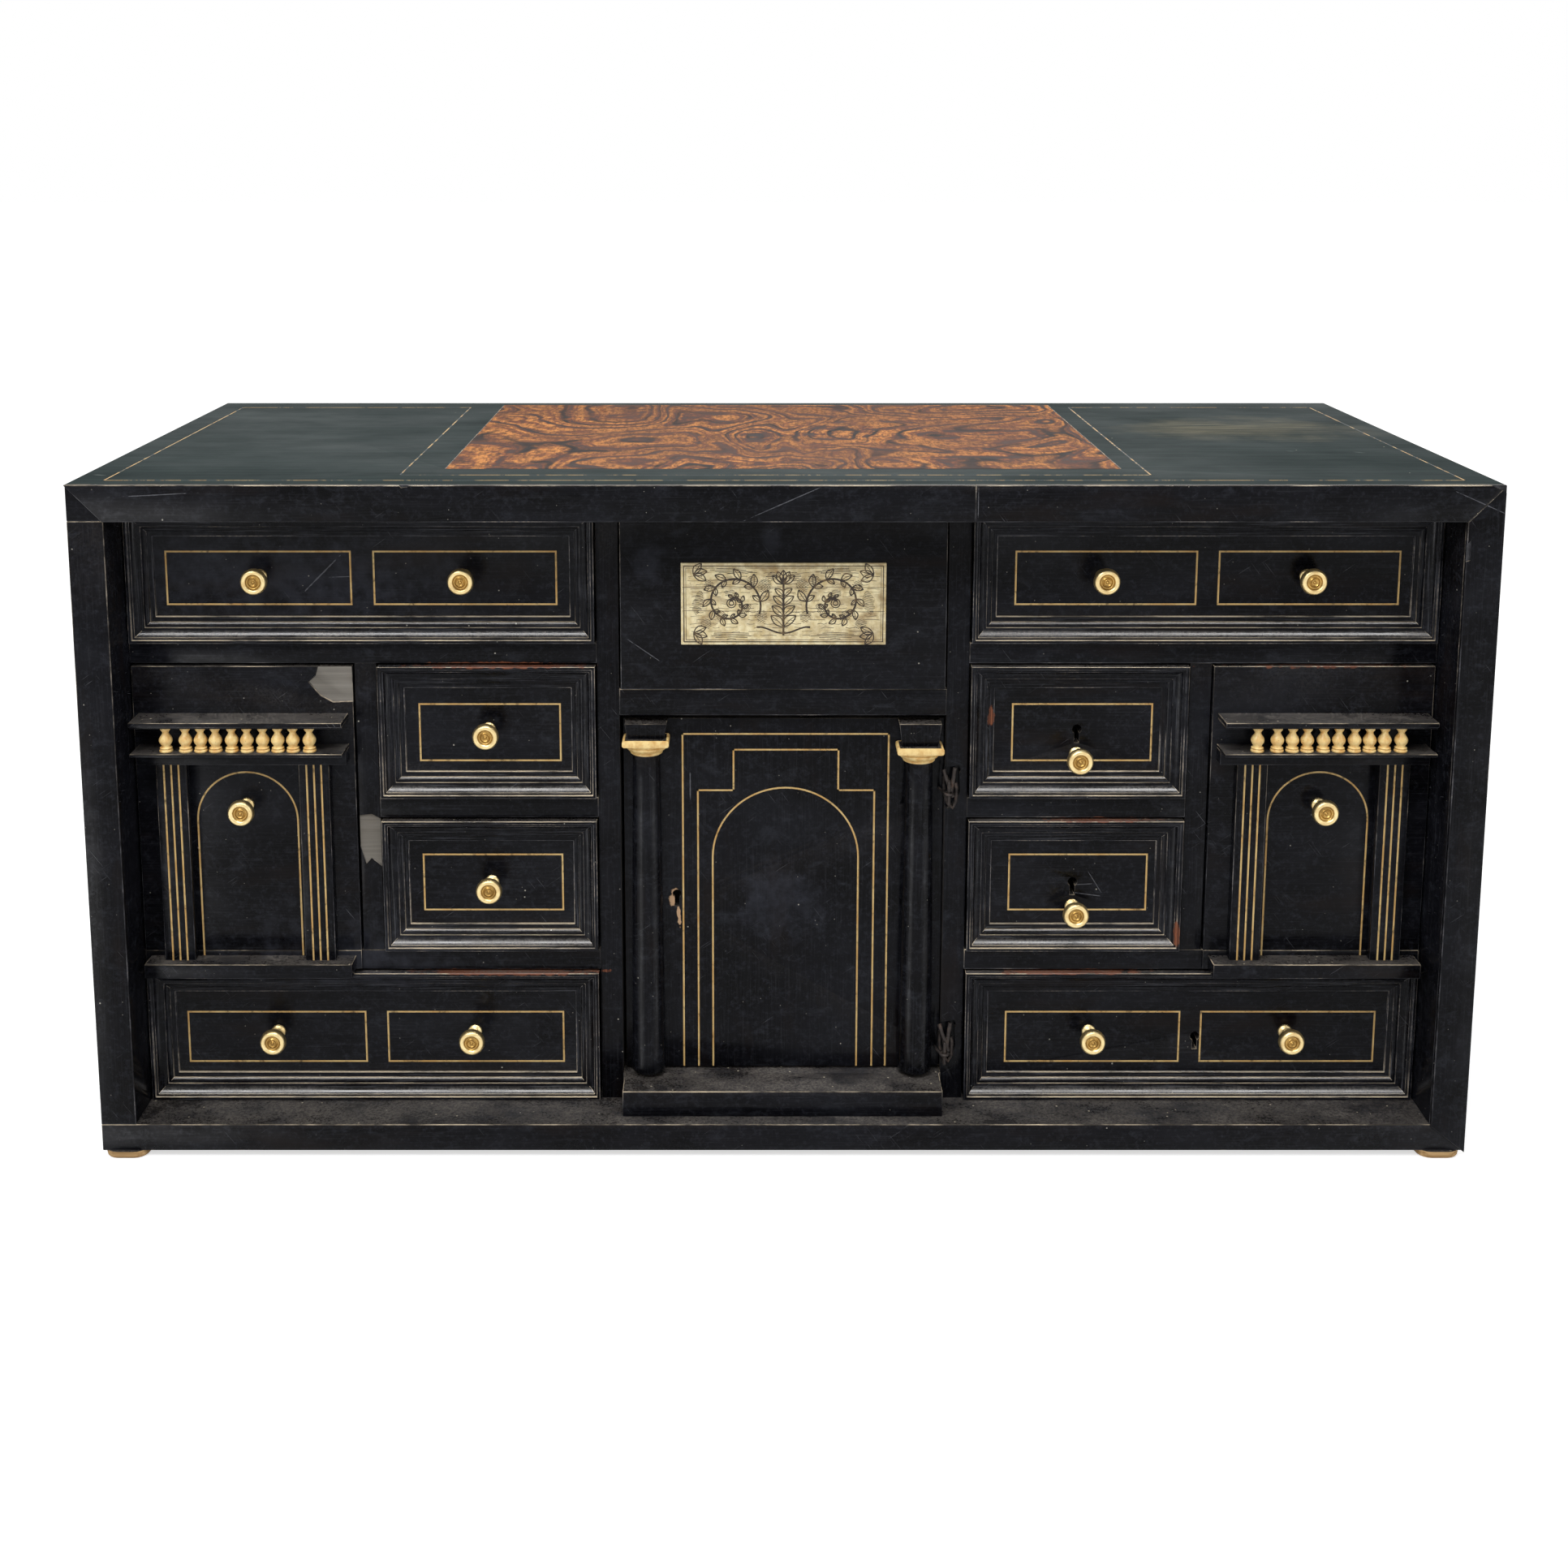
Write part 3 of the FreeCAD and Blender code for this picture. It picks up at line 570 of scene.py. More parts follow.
def ebonised(name, along, rubbed=0.1):
    """Pearwood stained black and waxed: a deep black with a blue-grey haze of old wax, partly a painted
    reflection, fine grain, scratches and pale specks, red-brown wood where it is rubbed through, and dust on
    what looks up, on the slopes of the mouldings also a painted sheen. Grey streaks in the mouldings are
    partly rubbed in by cloths and partly a painted sheen, and some dulled patches are a painted reflection."""
    tree, shader, place = new_finish(name)
    c = colours()
    cloud = pattern(tree, place, (75, 60, 50), detail=6.0, rough=0.6, warp=0.6)
    grain = pattern(tree, place, along_grain(along, 1.3, 70))
    mottle = pattern(tree, place, (3, 3, 3), detail=4.0, rough=0.7)
    bloom = pattern(tree, place, (16, 12, 9), detail=8.0, rough=0.72, warp=0.4)
    streaks = pattern(tree, place, along_grain(along, 1.0, 40), detail=5.0, rough=0.7)
    thin = pattern(tree, place, along_grain(along, 22, 90), detail=5.0)
    scratches = mark_mask(tree, place, SCRATCHED, 0.4, 3)
    for turn in ((0, 0.6, 0.2), (0.3, -0.9, 0)):
        scratches = add_node(
            tree, "Math", {0: scratches, 1: scratch_mask(tree, place, turn)}, operation="MAXIMUM"
        )
    film = pattern(tree, place, (1.6, 1.6, 1.6), rough=0.7)
    drift = pattern(tree, place, (38, 22, 30), detail=5.0, rough=0.65)
    # Dust on what looks up, thickest on the ledges; on the slopes of the mouldings that look up it is also a
    # painted sheen, which makes them lighter than the faces turned down
    dust_and_sheen = add_node(tree, "Math", {
        0: add_node(tree, "MapRange", {0: drift, 1: 0.38, 2: 0.60, 3: 0.2, 4: 0.9}),
        1: mark_mask(tree, place, DUSTY, 0.6, 14, 0.3),
    }, operation="MAXIMUM")
    for share in (facing_up(tree), add_node(tree, "MapRange", {0: film, 1: 0.40, 2: 0.60, 3: 0.3})):
        dust_and_sheen = add_node(tree, "Math", {0: dust_and_sheen, 1: share}, operation="MULTIPLY")
    crumbs = add_node(tree, "Math", {
        0: facing_up(tree, 0.7, 0.9), 1: speck_mask(tree, place, 7, 0.75),
    }, operation="MULTIPLY")
    bare = layers(tree, "#43251c", ((c.rubbed, grain, 0.4, 0.65, 1),))
    base = layers(tree, c.black, (
        # Blue-grey haze of old wax in clouds, partly a painted reflection
        (c.haze_and_reflection, cloud, 0.40, 0.72, 1),
        ("#151519", grain, 0.5, 0.75, 0.5),
        ("#222329", mottle, 0.52, 0.72, 0.7),
        ("#292b31", bloom, 0.54, 0.72, 0.6),
        # Grey streaks along the grain, strong on the mouldings: partly rubbed in by cloths, partly a painted
        # sheen
        ("#55565c", streaks, 0.54, 0.68, rubbed),
        (c.black_brown, thin, 0.56, 0.72, 0.75),
        # Dulled finger-marks, and a painted reflection on the left fronts
        ("#383a43", mark_mask(tree, place, DULLED_AND_SHEEN, 0.5, 9, 0.1), 0.33),
        ("#77787e", scratches, 0.42),
        ("#a9a59b", speck_mask(tree, place, 15, 0.6), 0.8),
        ("#a9a59b", speck_mask(tree, place, 6, 0.35), 0.5),
        (bare, mark_mask(tree, place, WORN_THROUGH, 0.4), 1),
        ("#a98a6c", mark_mask(tree, place, PALE_WOOD, 0.4, 4), 1),
        # Dust, and a painted sheen on the moulding slopes that look up
        (c.dust_and_sheen, dust_and_sheen, 0.9),
        ("#a39a86", crumbs, 0.8),
    ))
    gloss = add_node(tree, "MapRange", {0: cloud, 1: 0.35, 2: 0.7, 3: 0.15, 4: 0.30})
    height = 0.0
    for part, weight in ((grain, 0.5), (scratches, -0.6), (cloud, 2.0)):
        height = add_node(tree, "Math", {0: part, 1: weight, 2: height}, operation="MULTIPLY_ADD")
    connect(tree, shader, {
        "Base Color": base, "IOR": 1.16,
        "Roughness": add_node(tree, "Math", {0: dust_and_sheen, 1: 0.35, 2: gloss}, operation="MULTIPLY_ADD"),
        "Normal": add_node(tree, "Bump", {"Height": height, "Strength": 0.4, "Distance": 0.12 * MM}),
    })


def rubbed_sheened_edge(name, spared):
    """Edges rubbed by hands and cloths, with painted highlights on them: broken pale lines, partly wear and
    partly painted glints, brightest where they look up, as a painted highlight, and red-brown wood along the
    worn top edges. The case's are spared more than the mouldings'."""
    tree, shader, place = new_finish(name)
    patch = pattern(tree, place, (46, 14, 24), detail=7.0, rough=0.66)
    fine = pattern(tree, place, (2.2, 2.2, 2.2), detail=2.0)
    strong = add_node(tree, "Math", {
        0: add_node(tree, "MapRange", {0: patch, 1: 0.50 + spared, 2: 0.60 + spared}),
        1: add_node(tree, "MapRange", {0: fine, 1: 0.4, 2: 0.6}),
    }, operation="MULTIPLY")
    # Painted highlight: edges that look up turn cream, as if lit from above
    up = add_node(tree, "Math", {
        0: facing_up(tree, 0.0, 0.4),
        1: add_node(tree, "MapRange", {0: patch, 1: 0.38 + spared, 2: 0.56 + spared, 3: 0.15 - spared}),
    }, operation="MULTIPLY")
    # Grey and pale broken lines: wear, and partly painted glints along the edges
    base = layers(tree, "#18181b", (
        ("#55555a", patch, 0.40 + spared, 0.62 + spared, 1),
        ("#968c80", strong, 0.8),
        ("#c0ae90", up, 1),
        (colours().rubbed, mark_mask(tree, place, WORN_THROUGH, 0.4), 1),
        ("#a98a6c", mark_mask(tree, place, PALE_WOOD, 0.4, 4), 1),
    ))
    connect(tree, shader, {
        "Base Color": base, "IOR": 1.2,
        "Roughness": add_node(tree, "MapRange", {0: patch, 1: 0.4, 2: 0.6, 3: 0.24, 4: 0.55}),
    })


def faded_top(name):
    """The top's black has faded to slate green under light, with a dull rubbed oval and fine scratches."""
    tree, shader, place = new_finish(name)
    cloud = pattern(tree, place, (90, 60, 90), detail=6.0, rough=0.6)
    grain = pattern(tree, place, (110, 1.6, 5))
    streaks = pattern(tree, place, (60, 2.2, 5), detail=5.0, rough=0.7)
    rubbed = add_node(tree, "Math", {
        0: mark_mask(tree, place, RUBBED_OVAL, 0.35, 40, 0.25),
        1: add_node(tree, "MapRange", {0: streaks, 1: 0.40, 2: 0.64, 3: 0.1, 4: 0.9}),
    }, operation="MULTIPLY")
    base = layers(tree, colours().top_green, (
        ("#1e2727", cloud, 0.38, 0.66, 1),
        ("#3b4846", grain, 0.45, 0.75, 0.5),
        ("#6f6a58", rubbed, 1),
        ("#7d8580", scratch_mask(tree, place, (0, 0, 0.4), thin=0.5, long=40), 0.5),
        ("#b9b5a3", speck_mask(tree, place, 22, 0.6), 0.8),
    ))
    connect(tree, shader, {
        "Base Color": base, "IOR": 1.075,
        "Roughness": add_node(tree, "MapRange", {0: cloud, 1: 0.3, 2: 0.7, 3: 0.42, 4: 0.6}),
        "Normal": add_node(tree, "Bump", {"Height": grain, "Strength": 0.3, "Distance": 0.15 * MM}),
    })


def burl_veneer(name):
    """Burr walnut veneer: orange-brown, with dark bands that flow round eyes like lines on a map, broken
    black veins, and short pores."""
    tree, shader, place = new_finish(name)
    c = colours()
    sized = add_node(tree, "Mapping", {"Vector": place, "Scale": per_mm(150, 230, 150)})
    eyes = add_node(tree, "TexVoronoi", {"Vector": sized, "Scale": 1.0})
    level = add_node(tree, "Math", {
        0: pattern(tree, place, (150, 180, 95), detail=1.7, rough=0.5, warp=0.9),
        1: add_node(tree, "MapRange", {0: eyes, 1: 0.0, 2: 0.55, 3: 0.27, 4: 0.0}),
    }, operation="ADD")
    drift = pattern(tree, place, (55, 30, 55))
    flow = add_node(tree, "CombineXYZ", {
        "X": add_node(tree, "Math", {0: level, 1: 30.0}, operation="MULTIPLY"),
        "Y": add_node(tree, "Math", {0: drift, 1: 4.0}, operation="MULTIPLY"),
    })
    bands = add_node(tree, "TexNoise", {"Vector": flow, "Scale": 1.0, "Detail": 7.0, "Roughness": 0.62})
    figure = add_node(tree, "ValToRGB", {"Fac": bands}, stops=(
        (0.36, c.burl_dark), (0.42, linear("#45200f")), (0.47, linear("#7a4120")), (0.51, c.burl),
        (0.57, linear("#cf8a47")), (0.66, linear("#a86433")),
    ))
    # Pores, drawn three times as deep as wide, because the photograph looks along the top
    pores = pattern(tree, place, (2.8, 8.5, 3), rough=0.7)
    winding = add_node(tree, "Math", {0: drift, 1: 0.05, 2: level}, operation="MULTIPLY_ADD")
    off = add_node(tree, "Math", {0: winding, 1: 0.04}, operation="PINGPONG")
    broken = pattern(tree, place, (38, 60, 40))
    veins = add_node(tree, "Math", {
        0: add_node(tree, "MapRange", {0: off, 1: 0.014, 2: 0.004}),
        1: add_node(tree, "MapRange", {0: broken, 1: 0.42, 2: 0.50}),
    }, operation="MULTIPLY")
    base = layers(tree, figure, (
        ("#371a0c", pores, 0.58, 0.40, 0.7),
        ("#170c09", veins, 1),
        ("#52301f", pattern(tree, place, (130, 90, 90), detail=2.0), 0.40, 0.64, 0.5),
    ))
    connect(tree, shader, {
        "Base Color": base, "IOR": 1.08,
        "Roughness": add_node(tree, "MapRange", {0: bands, 1: 0.3, 2: 0.7, 3: 0.34, 4: 0.5}),
        "Normal": add_node(tree, "Bump", {"Height": pores, "Strength": 0.25, "Distance": 0.15 * MM}),
    })


def boxwood_string(name, lost, ground):
    """Boxwood strings, yellowed and dirty, black where a length is lost."""
    tree, shader, place = new_finish(name)
    base = layers(tree, colours().string, (
        ("#b48d54", pattern(tree, place, (14, 14, 14), detail=4.0), 0.35, 0.65, 1),
        ("#4a3a25", pattern(tree, place, (5, 5, 5), detail=5.0, rough=0.7), 0.54, 0.68, 0.8),
        (ground, pattern(tree, place, (16, 16, 16), detail=6.0, rough=0.75), lost, lost + 0.03, 1),
    ))
    connect(tree, shader, {"Base Color": base, "Roughness": 0.45, "IOR": 1.3})


def bare_wood(name, along, pale, dark, fine=1.1, stained=False):
    """Unfinished board: straight open grain, soft stains, dull all over; the black stain of the fronts may
    run over its front end."""
    tree, shader, place = new_finish(name)
    grain = pattern(tree, place, along_grain(along, fine, 95), detail=5.0, rough=0.6, warp=0.3)
    stain = pattern(tree, place, (70, 70, 70), detail=4.0)
    base = layers(tree, pale, (
        (dark, grain, 0.35, 0.68, 1),
        (dark, pattern(tree, place, along_grain(along, 14, 260), detail=2.0, warp=0.8), 0.45, 0.6, 0.45),
        ("#4e3a28", stain, 0.5, 0.7, 0.5),
    ))
    if stained:
        depth = add_node(tree, "Math", {
            0: add_node(tree, "SeparateXYZ", {0: place}).outputs["Y"],
            1: add_node(tree, "MapRange", {0: stain, 1: 0.3, 2: 0.7, 3: -4 * MM, 4: 4 * MM}),
        }, operation="ADD")
        base = layers(tree, base, ((colours().black_brown, depth, -112 * MM, -120 * MM, 1),))
    connect(tree, shader, {
        "Base Color": base, "Specular IOR Level": 0.1,
        "Roughness": add_node(tree, "MapRange", {0: grain, 1: 0.3, 2: 0.7, 3: 0.62, 4: 0.8}),
        "Normal": add_node(tree, "Bump", {"Height": grain, "Strength": 0.5, "Distance": 0.25 * MM}),
    })


def turned_brass(name, code, dark):
    """Cast brass turned on a lathe and waxed: pale gold, soft highlights, a little brown in the hollows."""
    tree, shader, place = new_finish(name)
    patch = pattern(tree, place, (6, 6, 6), detail=4.0)
    connect(tree, shader, {
        "Base Color": layers(tree, code, ((dark, patch, 0.42, 0.7, 0.6),)), "Metallic": 1.0,
        "Roughness": add_node(tree, "MapRange", {0: patch, 1: 0.35, 2: 0.7, 3: 0.3, 4: 0.46}),
        "Normal": add_node(tree, "Bump", {"Height": patch, "Strength": 0.1, "Distance": 0.2 * MM}),
    })


def turned_bone(name, code, dark, grime=0.0):
    """Turned and polished bone gone yellow: cream with honey shadows and dark flecks in its pores."""
    tree, shader, place = new_finish(name)
    flecks = pattern(tree, place, (0.7, 0.7, 1.6), detail=2.0)
    coats = [
        (dark, pattern(tree, place, (4, 4, 6), detail=4.0), 0.38, 0.68, 1),
        ("#6b4c26", flecks, 0.66, 0.74, 0.6),
    ]
    if grime:
        cloud = pattern(tree, place, (20, 12, 9), detail=5.0, rough=0.65, warp=0.5)
        coats.append(("#86683c", cloud, 0.46, 0.66, grime))
    connect(tree, shader, {
        "Base Color": layers(tree, code, coats), "Roughness": 0.34, "Specular IOR Level": 0.45,
        "Normal": add_node(tree, "Bump", {"Height": flecks, "Strength": 0.3, "Distance": 0.12 * MM}),
    })


def old_iron(name):
    """Forged iron wire and sheet: dark, half matt, with rust in patches."""
    tree, shader, place = new_finish(name)
    rust = pattern(tree, place, (7, 7, 7), detail=6.0, rough=0.7)
    connect(tree, shader, {
        "Base Color": layers(tree, colours().iron, (("#4c3a2f", rust, 0.52, 0.68, 1),)),
        "Metallic": add_node(tree, "MapRange", {0: rust, 1: 0.45, 2: 0.6, 3: 0.8, 4: 0.1}),
        "Roughness": add_node(tree, "MapRange", {0: rust, 1: 0.4, 2: 0.6, 3: 0.45, 4: 0.8}),
        "Normal": add_node(tree, "Bump", {"Height": rust, "Strength": 0.5, "Distance": 0.3 * MM}),
    })


def engraving_ink(name):
    """Dark filling rubbed into the engraved lines, brown where it has worn."""
    tree, shader, place = new_finish(name)
    base = layers(tree, colours().ink, (("#6f5a3c", pattern(tree, place, (3, 3, 3)), 0.5, 0.75, 1),))
    connect(tree, shader, {"Base Color": base, "Roughness": 0.7})


def make_finishes():
    c = colours()
    for way, along in (("lengthways", "X"), ("upright", "Z")):
        ebonised(f"Ebonised pearwood {way}", along)
        # The mouldings take more of the grey streaks, which are partly a painted sheen on their faces
        ebonised(f"Rubbed and sheened moulding {way}", along, rubbed=0.5)
    rubbed_sheened_edge("Rubbed and sheened ebonised edge", 0.08)
    rubbed_sheened_edge("Rubbed and sheened moulding edge", 0.0)
    faded_top("Faded ebonised top")
    burl_veneer("Burr walnut veneer")
    boxwood_string("Boxwood string", 0.69, "#131215")
    boxwood_string("Worn string on the top", 0.49, c.top_green)
    bare_wood("Oak board lengthways", "X", c.oak, "#6a4a2c", stained=True)
    bare_wood("Oak board front to back", "Y", c.oak, "#6a4a2c", stained=True)
    bare_wood("Worn foot", "X", "#d2b080", "#8a683e", fine=2.0)
    bare_wood("Wood under lost veneer", "X", "#6d6860", "#58534c", fine=2.2)
    turned_brass("Turned brass", c.brass, "#c2a068")
    turned_brass("Brass in the hollows", "#b18f52", "#72562c")
    turned_bone("Turned yellow bone", c.gilt, "#cf9f58")
    turned_bone("Bone plaque", c.bone, "#cdb885", grime=0.7)
    old_iron("Old iron")
    engraving_ink("Engraving ink")


def finish(name):
    return bpy.data.materials[name]


# Face, edges and unseen faces of a board, by the way its grain runs
LENGTHWAYS = ("Ebonised pearwood lengthways", "Rubbed and sheened ebonised edge", "Oak board lengthways")
UPRIGHT = ("Ebonised pearwood upright", "Rubbed and sheened ebonised edge", "Oak board lengthways")

# Thickness of the panel behind the mouldings, of a flake of veneer, and of a string in the wood
PANEL_THICK = 12
VENEER_THICK = 0.7
STRING_SUNK = 0.4
# Heights of the two wire hinges
HINGE_HEIGHTS = (62.0, 237.0)


# Inlay

def string_bars(bars, y):
    """Straight strings on a front at depth y, each from (x, z) corner to corner."""
    stand = sizes().string_stand / MM
    return [
        block((x_low, y - stand, z_low), (x_high, y + STRING_SUNK, z_high))
        for x_low, z_low, x_high, z_high in bars
    ]


def string_frame(x_low, z_low, x_high, z_high, y):
    """A closed rectangle of string, mitred at its corners."""
    (piece,) = string_bars([(x_low, z_low, x_high, z_high)], y)
    edit(piece)
    pick(piece, faces=lambda face: abs(face.normal.y) > 0.5)
    bpy.ops.mesh.inset(thickness=sizes().string_width, depth=0)
    bpy.ops.mesh.bridge_edge_loops()
    close_edit()
    return piece


def string_arch(x, spring_z, radius, foot_z, y):
    """A round arch of string on two legs, open at its foot, drawn by the middle of the string."""
    half = sizes().string_width / MM / 2
    stand = sizes().string_stand / MM
    piece = point_at((x - radius - half, y - stand, foot_z))
    push(2 * half, (1, 0, 0))
    bpy.ops.mesh.select_all(action="SELECT")
    push(stand + STRING_SUNK, (0, 1, 0))
    bpy.ops.mesh.select_all(action="SELECT")
    push(spring_z - foot_z, (0, 0, 1))
    top = spring_z * MM
    pick(piece, verts=lambda v: abs(v.co.z - top) < 1e-6)
    bpy.ops.mesh.spin(
        steps=36, angle=math.pi, center=(x * MM, y * MM, spring_z * MM), axis=(0, -1, 0)
    )
    push(spring_z - foot_z, (0, 0, -1))
    close_skin()
    return piece


# Operators

class CabinetPiece:
    """What the operators share."""
    bl_options = {"REGISTER", "UNDO"}


class CABINET_OT_finishes(CabinetPiece, bpy.types.Operator):
    """Make the finishes of the cabinet"""
    bl_idname = "cabinet.finishes"
    bl_label = "Finishes"

    def execute(self, context):
        make_finishes()
        return {"FINISHED"}


class CABINET_OT_stage(CabinetPiece, bpy.types.Operator):
    """Set the floor, the lights and the camera at the photograph's angle"""
    bl_idname = "cabinet.stage"
    bl_label = "Stage"

    def execute(self, context):
        deselect()
        bpy.ops.mesh.primitive_plane_add(size=40)
        floor = context.object
        floor.name = "floor"
        material = bpy.data.materials.new("White paper floor")
        material.use_nodes = True
        tree = material.node_tree
        tree.nodes.clear()
        seen = self.background_rays(tree)
        shade = add_node(tree, "BsdfDiffuse", {"Color": "#dedede"})
        # Where it is seen it also glows, so that it is as white as the background
        glow = add_node(tree, "Math", {0: seen, 1: 0.62}, operation="MULTIPLY")
        paper = add_node(tree, "Emission", {"Color": "#ffffff", "Strength": glow})
        both = add_node(tree, "AddShader", {0: shade, 1: paper})
        add_node(tree, "OutputMaterial", {"Surface": both})
        floor.data.materials.append(material)

        world = bpy.data.worlds.new("Studio")
        context.scene.world = world
        world.use_nodes = True
        tree = world.node_tree
        tree.nodes.clear()
        # White where it is seen, and softer where it lights the cabinet
        seen = self.background_rays(tree)
        soft = add_node(tree, "Background", {"Color": "#ffffff", "Strength": 0.55})
        white = add_node(tree, "Background", {"Color": "#ffffff", "Strength": 1.0})
        mixed = add_node(tree, "MixShader", {0: seen, 1: soft, 2: white})
        add_node(tree, "OutputWorld", {"Surface": mixed})

        # Place and size in metres, power in watts; all look at a point low in the cabinet
        aim = Vector((0, 0, 0.2))
        for name, place, size, energy in (
            ("key_light", (-1.3, -1.9, 2.3), (0.5, 0.5), 30.0),
            ("overhead_light", (-0.1, -0.8, 2.0), (0.7, 0.7), 16.0),
            ("fill_light", (2.4, -1.8, 1.3), (1.4, 1.4), 9.0),
            ("back_light", (0.4, 2.4, 2.2), (1.4, 1.4), 14.0),
            ("gloss_above", (0.0, -1.0, 1.9), (2.8, 0.9), 780.0),
            ("gloss_left", (-1.5, -1.4, -0.6), (0.45, 0.6), 25.0),
            ("gloss_right", (1.6, -1.3, -0.6), (0.45, 0.6), 17.0),
        ):
            bpy.ops.object.light_add(type="AREA", location=place)
            lamp = context.object
            lamp.name = name
            lamp.data.shape = "RECTANGLE"
            lamp.data.size, lamp.data.size_y = size
            lamp.data.energy = energy
            if name.startswith("gloss"):
                # These only draw the highlights on the waxed black pieces, two of them through the floor,
                # where a photographer's reflectors would lie
                lamp.visible_diffuse = False
                lamp.light_linking.receiver_collection = waxed_pieces()
                lamp.light_linking.blocker_collection = waxed_pieces()
            lamp.rotation_euler = (aim - Vector(place)).to_track_quat("-Z", "Y").to_euler()

        # Eye, pitch and lens follow from the photograph's vanishing point and the cabinet's width
        looking_down = 9.13
        bpy.ops.object.camera_add(
            location=(-0.0234, -1.313, 0.648), rotation=(math.radians(90 - looking_down), 0, 0)
        )
        camera = context.object
        camera.name = "camera"
        camera.data.sensor_width = 36
        camera.data.lens = 43.23
        camera.data.shift_x = 0.0239
        camera.data.shift_y = -0.215
        camera.data.clip_start = 0.01
        context.scene.camera = camera
        context.scene.view_settings.view_transform = "Standard"
        return {"FINISHED"}

    def background_rays(self, tree):
        """One for rays that see the background: the camera's, and those from gloss or through glass."""
        path = add_node(tree, "LightPath")
        seen = path.outputs["Is Camera Ray"]
        for ray in ("Is Glossy Ray", "Is Transmission Ray"):
            seen = add_node(tree, "Math", {0: seen, 1: path.outputs[ray]}, operation="MAXIMUM")
        return seen


class CABINET_OT_case(CabinetPiece, bpy.types.Operator):
    """Finish the boards, facings, back and feet of the case"""
    bl_idname = "cabinet.case"
    bl_label = "Case"

    def execute(self, context):
        edge = sizes().worn_edge
        for node in ("left_side_board", "right_side_board"):
            dressed(node, UPRIGHT, edge)
        dressed("bottom_board", LENGTHWAYS, edge)
        dressed("cupboard_floor", LENGTHWAYS, edge)
        dividers = dressed("dividers", UPRIGHT, edge, other=lambda face: face.normal.y > -0.5)
        face_y = corners("dividers")[0].y
        lost_veneer(dividers, [
            (-274.5, 219), (-266, 220), (-260, 216.5), (-260, 184), (-267, 190), (-270.5, 186), (-274.5, 200),
        ], face_y, "Wood under lost veneer", VENEER_THICK)
        # Edge broken away round the legs of the hinges
        for z in HINGE_HEIGHTS:
            lost_veneer(dividers, [
                (104, z - 12), (107, z - 14), (112, z - 9), (114.5, z - 2), (114, z + 10), (115, z + 12),
                (113.5, z + 16), (109, z + 15), (104, z + 14.5),
            ], face_y, "Ebonised pearwood upright", 5)
        dressed("shelves", LENGTHWAYS, edge, other=lambda face: face.normal.y > -0.5)
        self.facings(edge)
        self.back(edge)
        self.feet()
        return {"FINISHED"}

    def facings(self, edge):
        """Strips mitred at the corners, the top and bottom ones pieced from two lengths."""
        low, high = corners("front_edge_facings")
        inner_low, inner_high = corners("left_side_board")
        inner_x, floor_z, ceiling_z = -inner_high.x, inner_low.z, inner_high.z
        corner_x, middle_z = 440, (floor_z + ceiling_z) / 2
        # Outer and inner height of each strip, and the x of the joint between its two lengths
        top, bottom = (high.z, ceiling_z), (low.z, floor_z)
        strips = []
        for joint, (z_outer, z_inner) in ((116.5, top), (-112.5, bottom)):
            z_low, z_high = sorted((z_outer, z_inner))
            for side, x_low, x_high in ((-1, low.x, joint), (1, joint, high.x)):
                strip = block((x_low, low.y, z_low), (x_high, high.y, z_high))
                self.mitre(strip, (side * corner_x, z_outer), (side * inner_x, z_inner), (0, z_inner))
                strips.append(strip)
        for side in (-1, 1):
            outer, inner = side * corner_x, side * inner_x
            x_low, x_high = sorted((side * high.x, inner))
            strip = block((x_low, low.y, low.z), (x_high, high.y, high.z))
            for z_outer, z_inner in (top, bottom):
                self.mitre(strip, (outer, z_outer), (inner, z_inner), (outer, middle_z))
            paint_faces(strip, 2)
            strips.append(strip)
        materials = ("Ebonised pearwood lengthways", "Rubbed and sheened ebonised edge", "Ebonised pearwood upright")
        piece = joined(strips, materials)
        soften(piece, edge, edge_material=1)
        settle(piece, "facings", materials, "front_edge_facings", ("front_edge_facings",))
        for chip in (
            [(-420, 27), (-414, 22), (-402, 21.4), (-409, 18.6), (-419, 17.2), (-424.5, 20.5)],
            [(-398, 24), (-362, 24), (-345, 23.5), (-356, 21.4), (-372, 20.2), (-384, 21.6)],
            [(-441, 4), (-441, 14.5), (-437.5, 13), (-434, 9.5), (-430, 8), (-428, 4)],
            [(-441, 22), (-441, 27), (-438.8, 26), (-438.4, 23)],
            [(414, 402), (420, 409), (420, 396), (416.5, 395)],
            [(428, 444), (441, 444), (441, 437), (438.6, 439.4), (434, 441.2)],
            [(-236, 444), (-228, 444), (-230, 441.8), (-234, 441.4)],
            [(310, 24), (338, 24), (331, 21.8), (316, 21.2)],
        ):
            lost_veneer(piece, chip, low.y, "Rubbed and sheened ebonised edge", 0.9)

    def mitre(self, strip, outer, inner, kept):
        """Cuts a strip along the line between two corners (x, z), keeping the side of a third point."""
        (outer_x, outer_z), (inner_x, inner_z) = outer, inner
        normal = Vector((outer_z - inner_z, 0, inner_x - outer_x)).normalized()
        start = Vector((outer_x, 0, outer_z))
        if (Vector((kept[0], 0, kept[1])) - start).dot(normal) < 0:
            normal = -normal
        cut_plane(strip, start, normal)

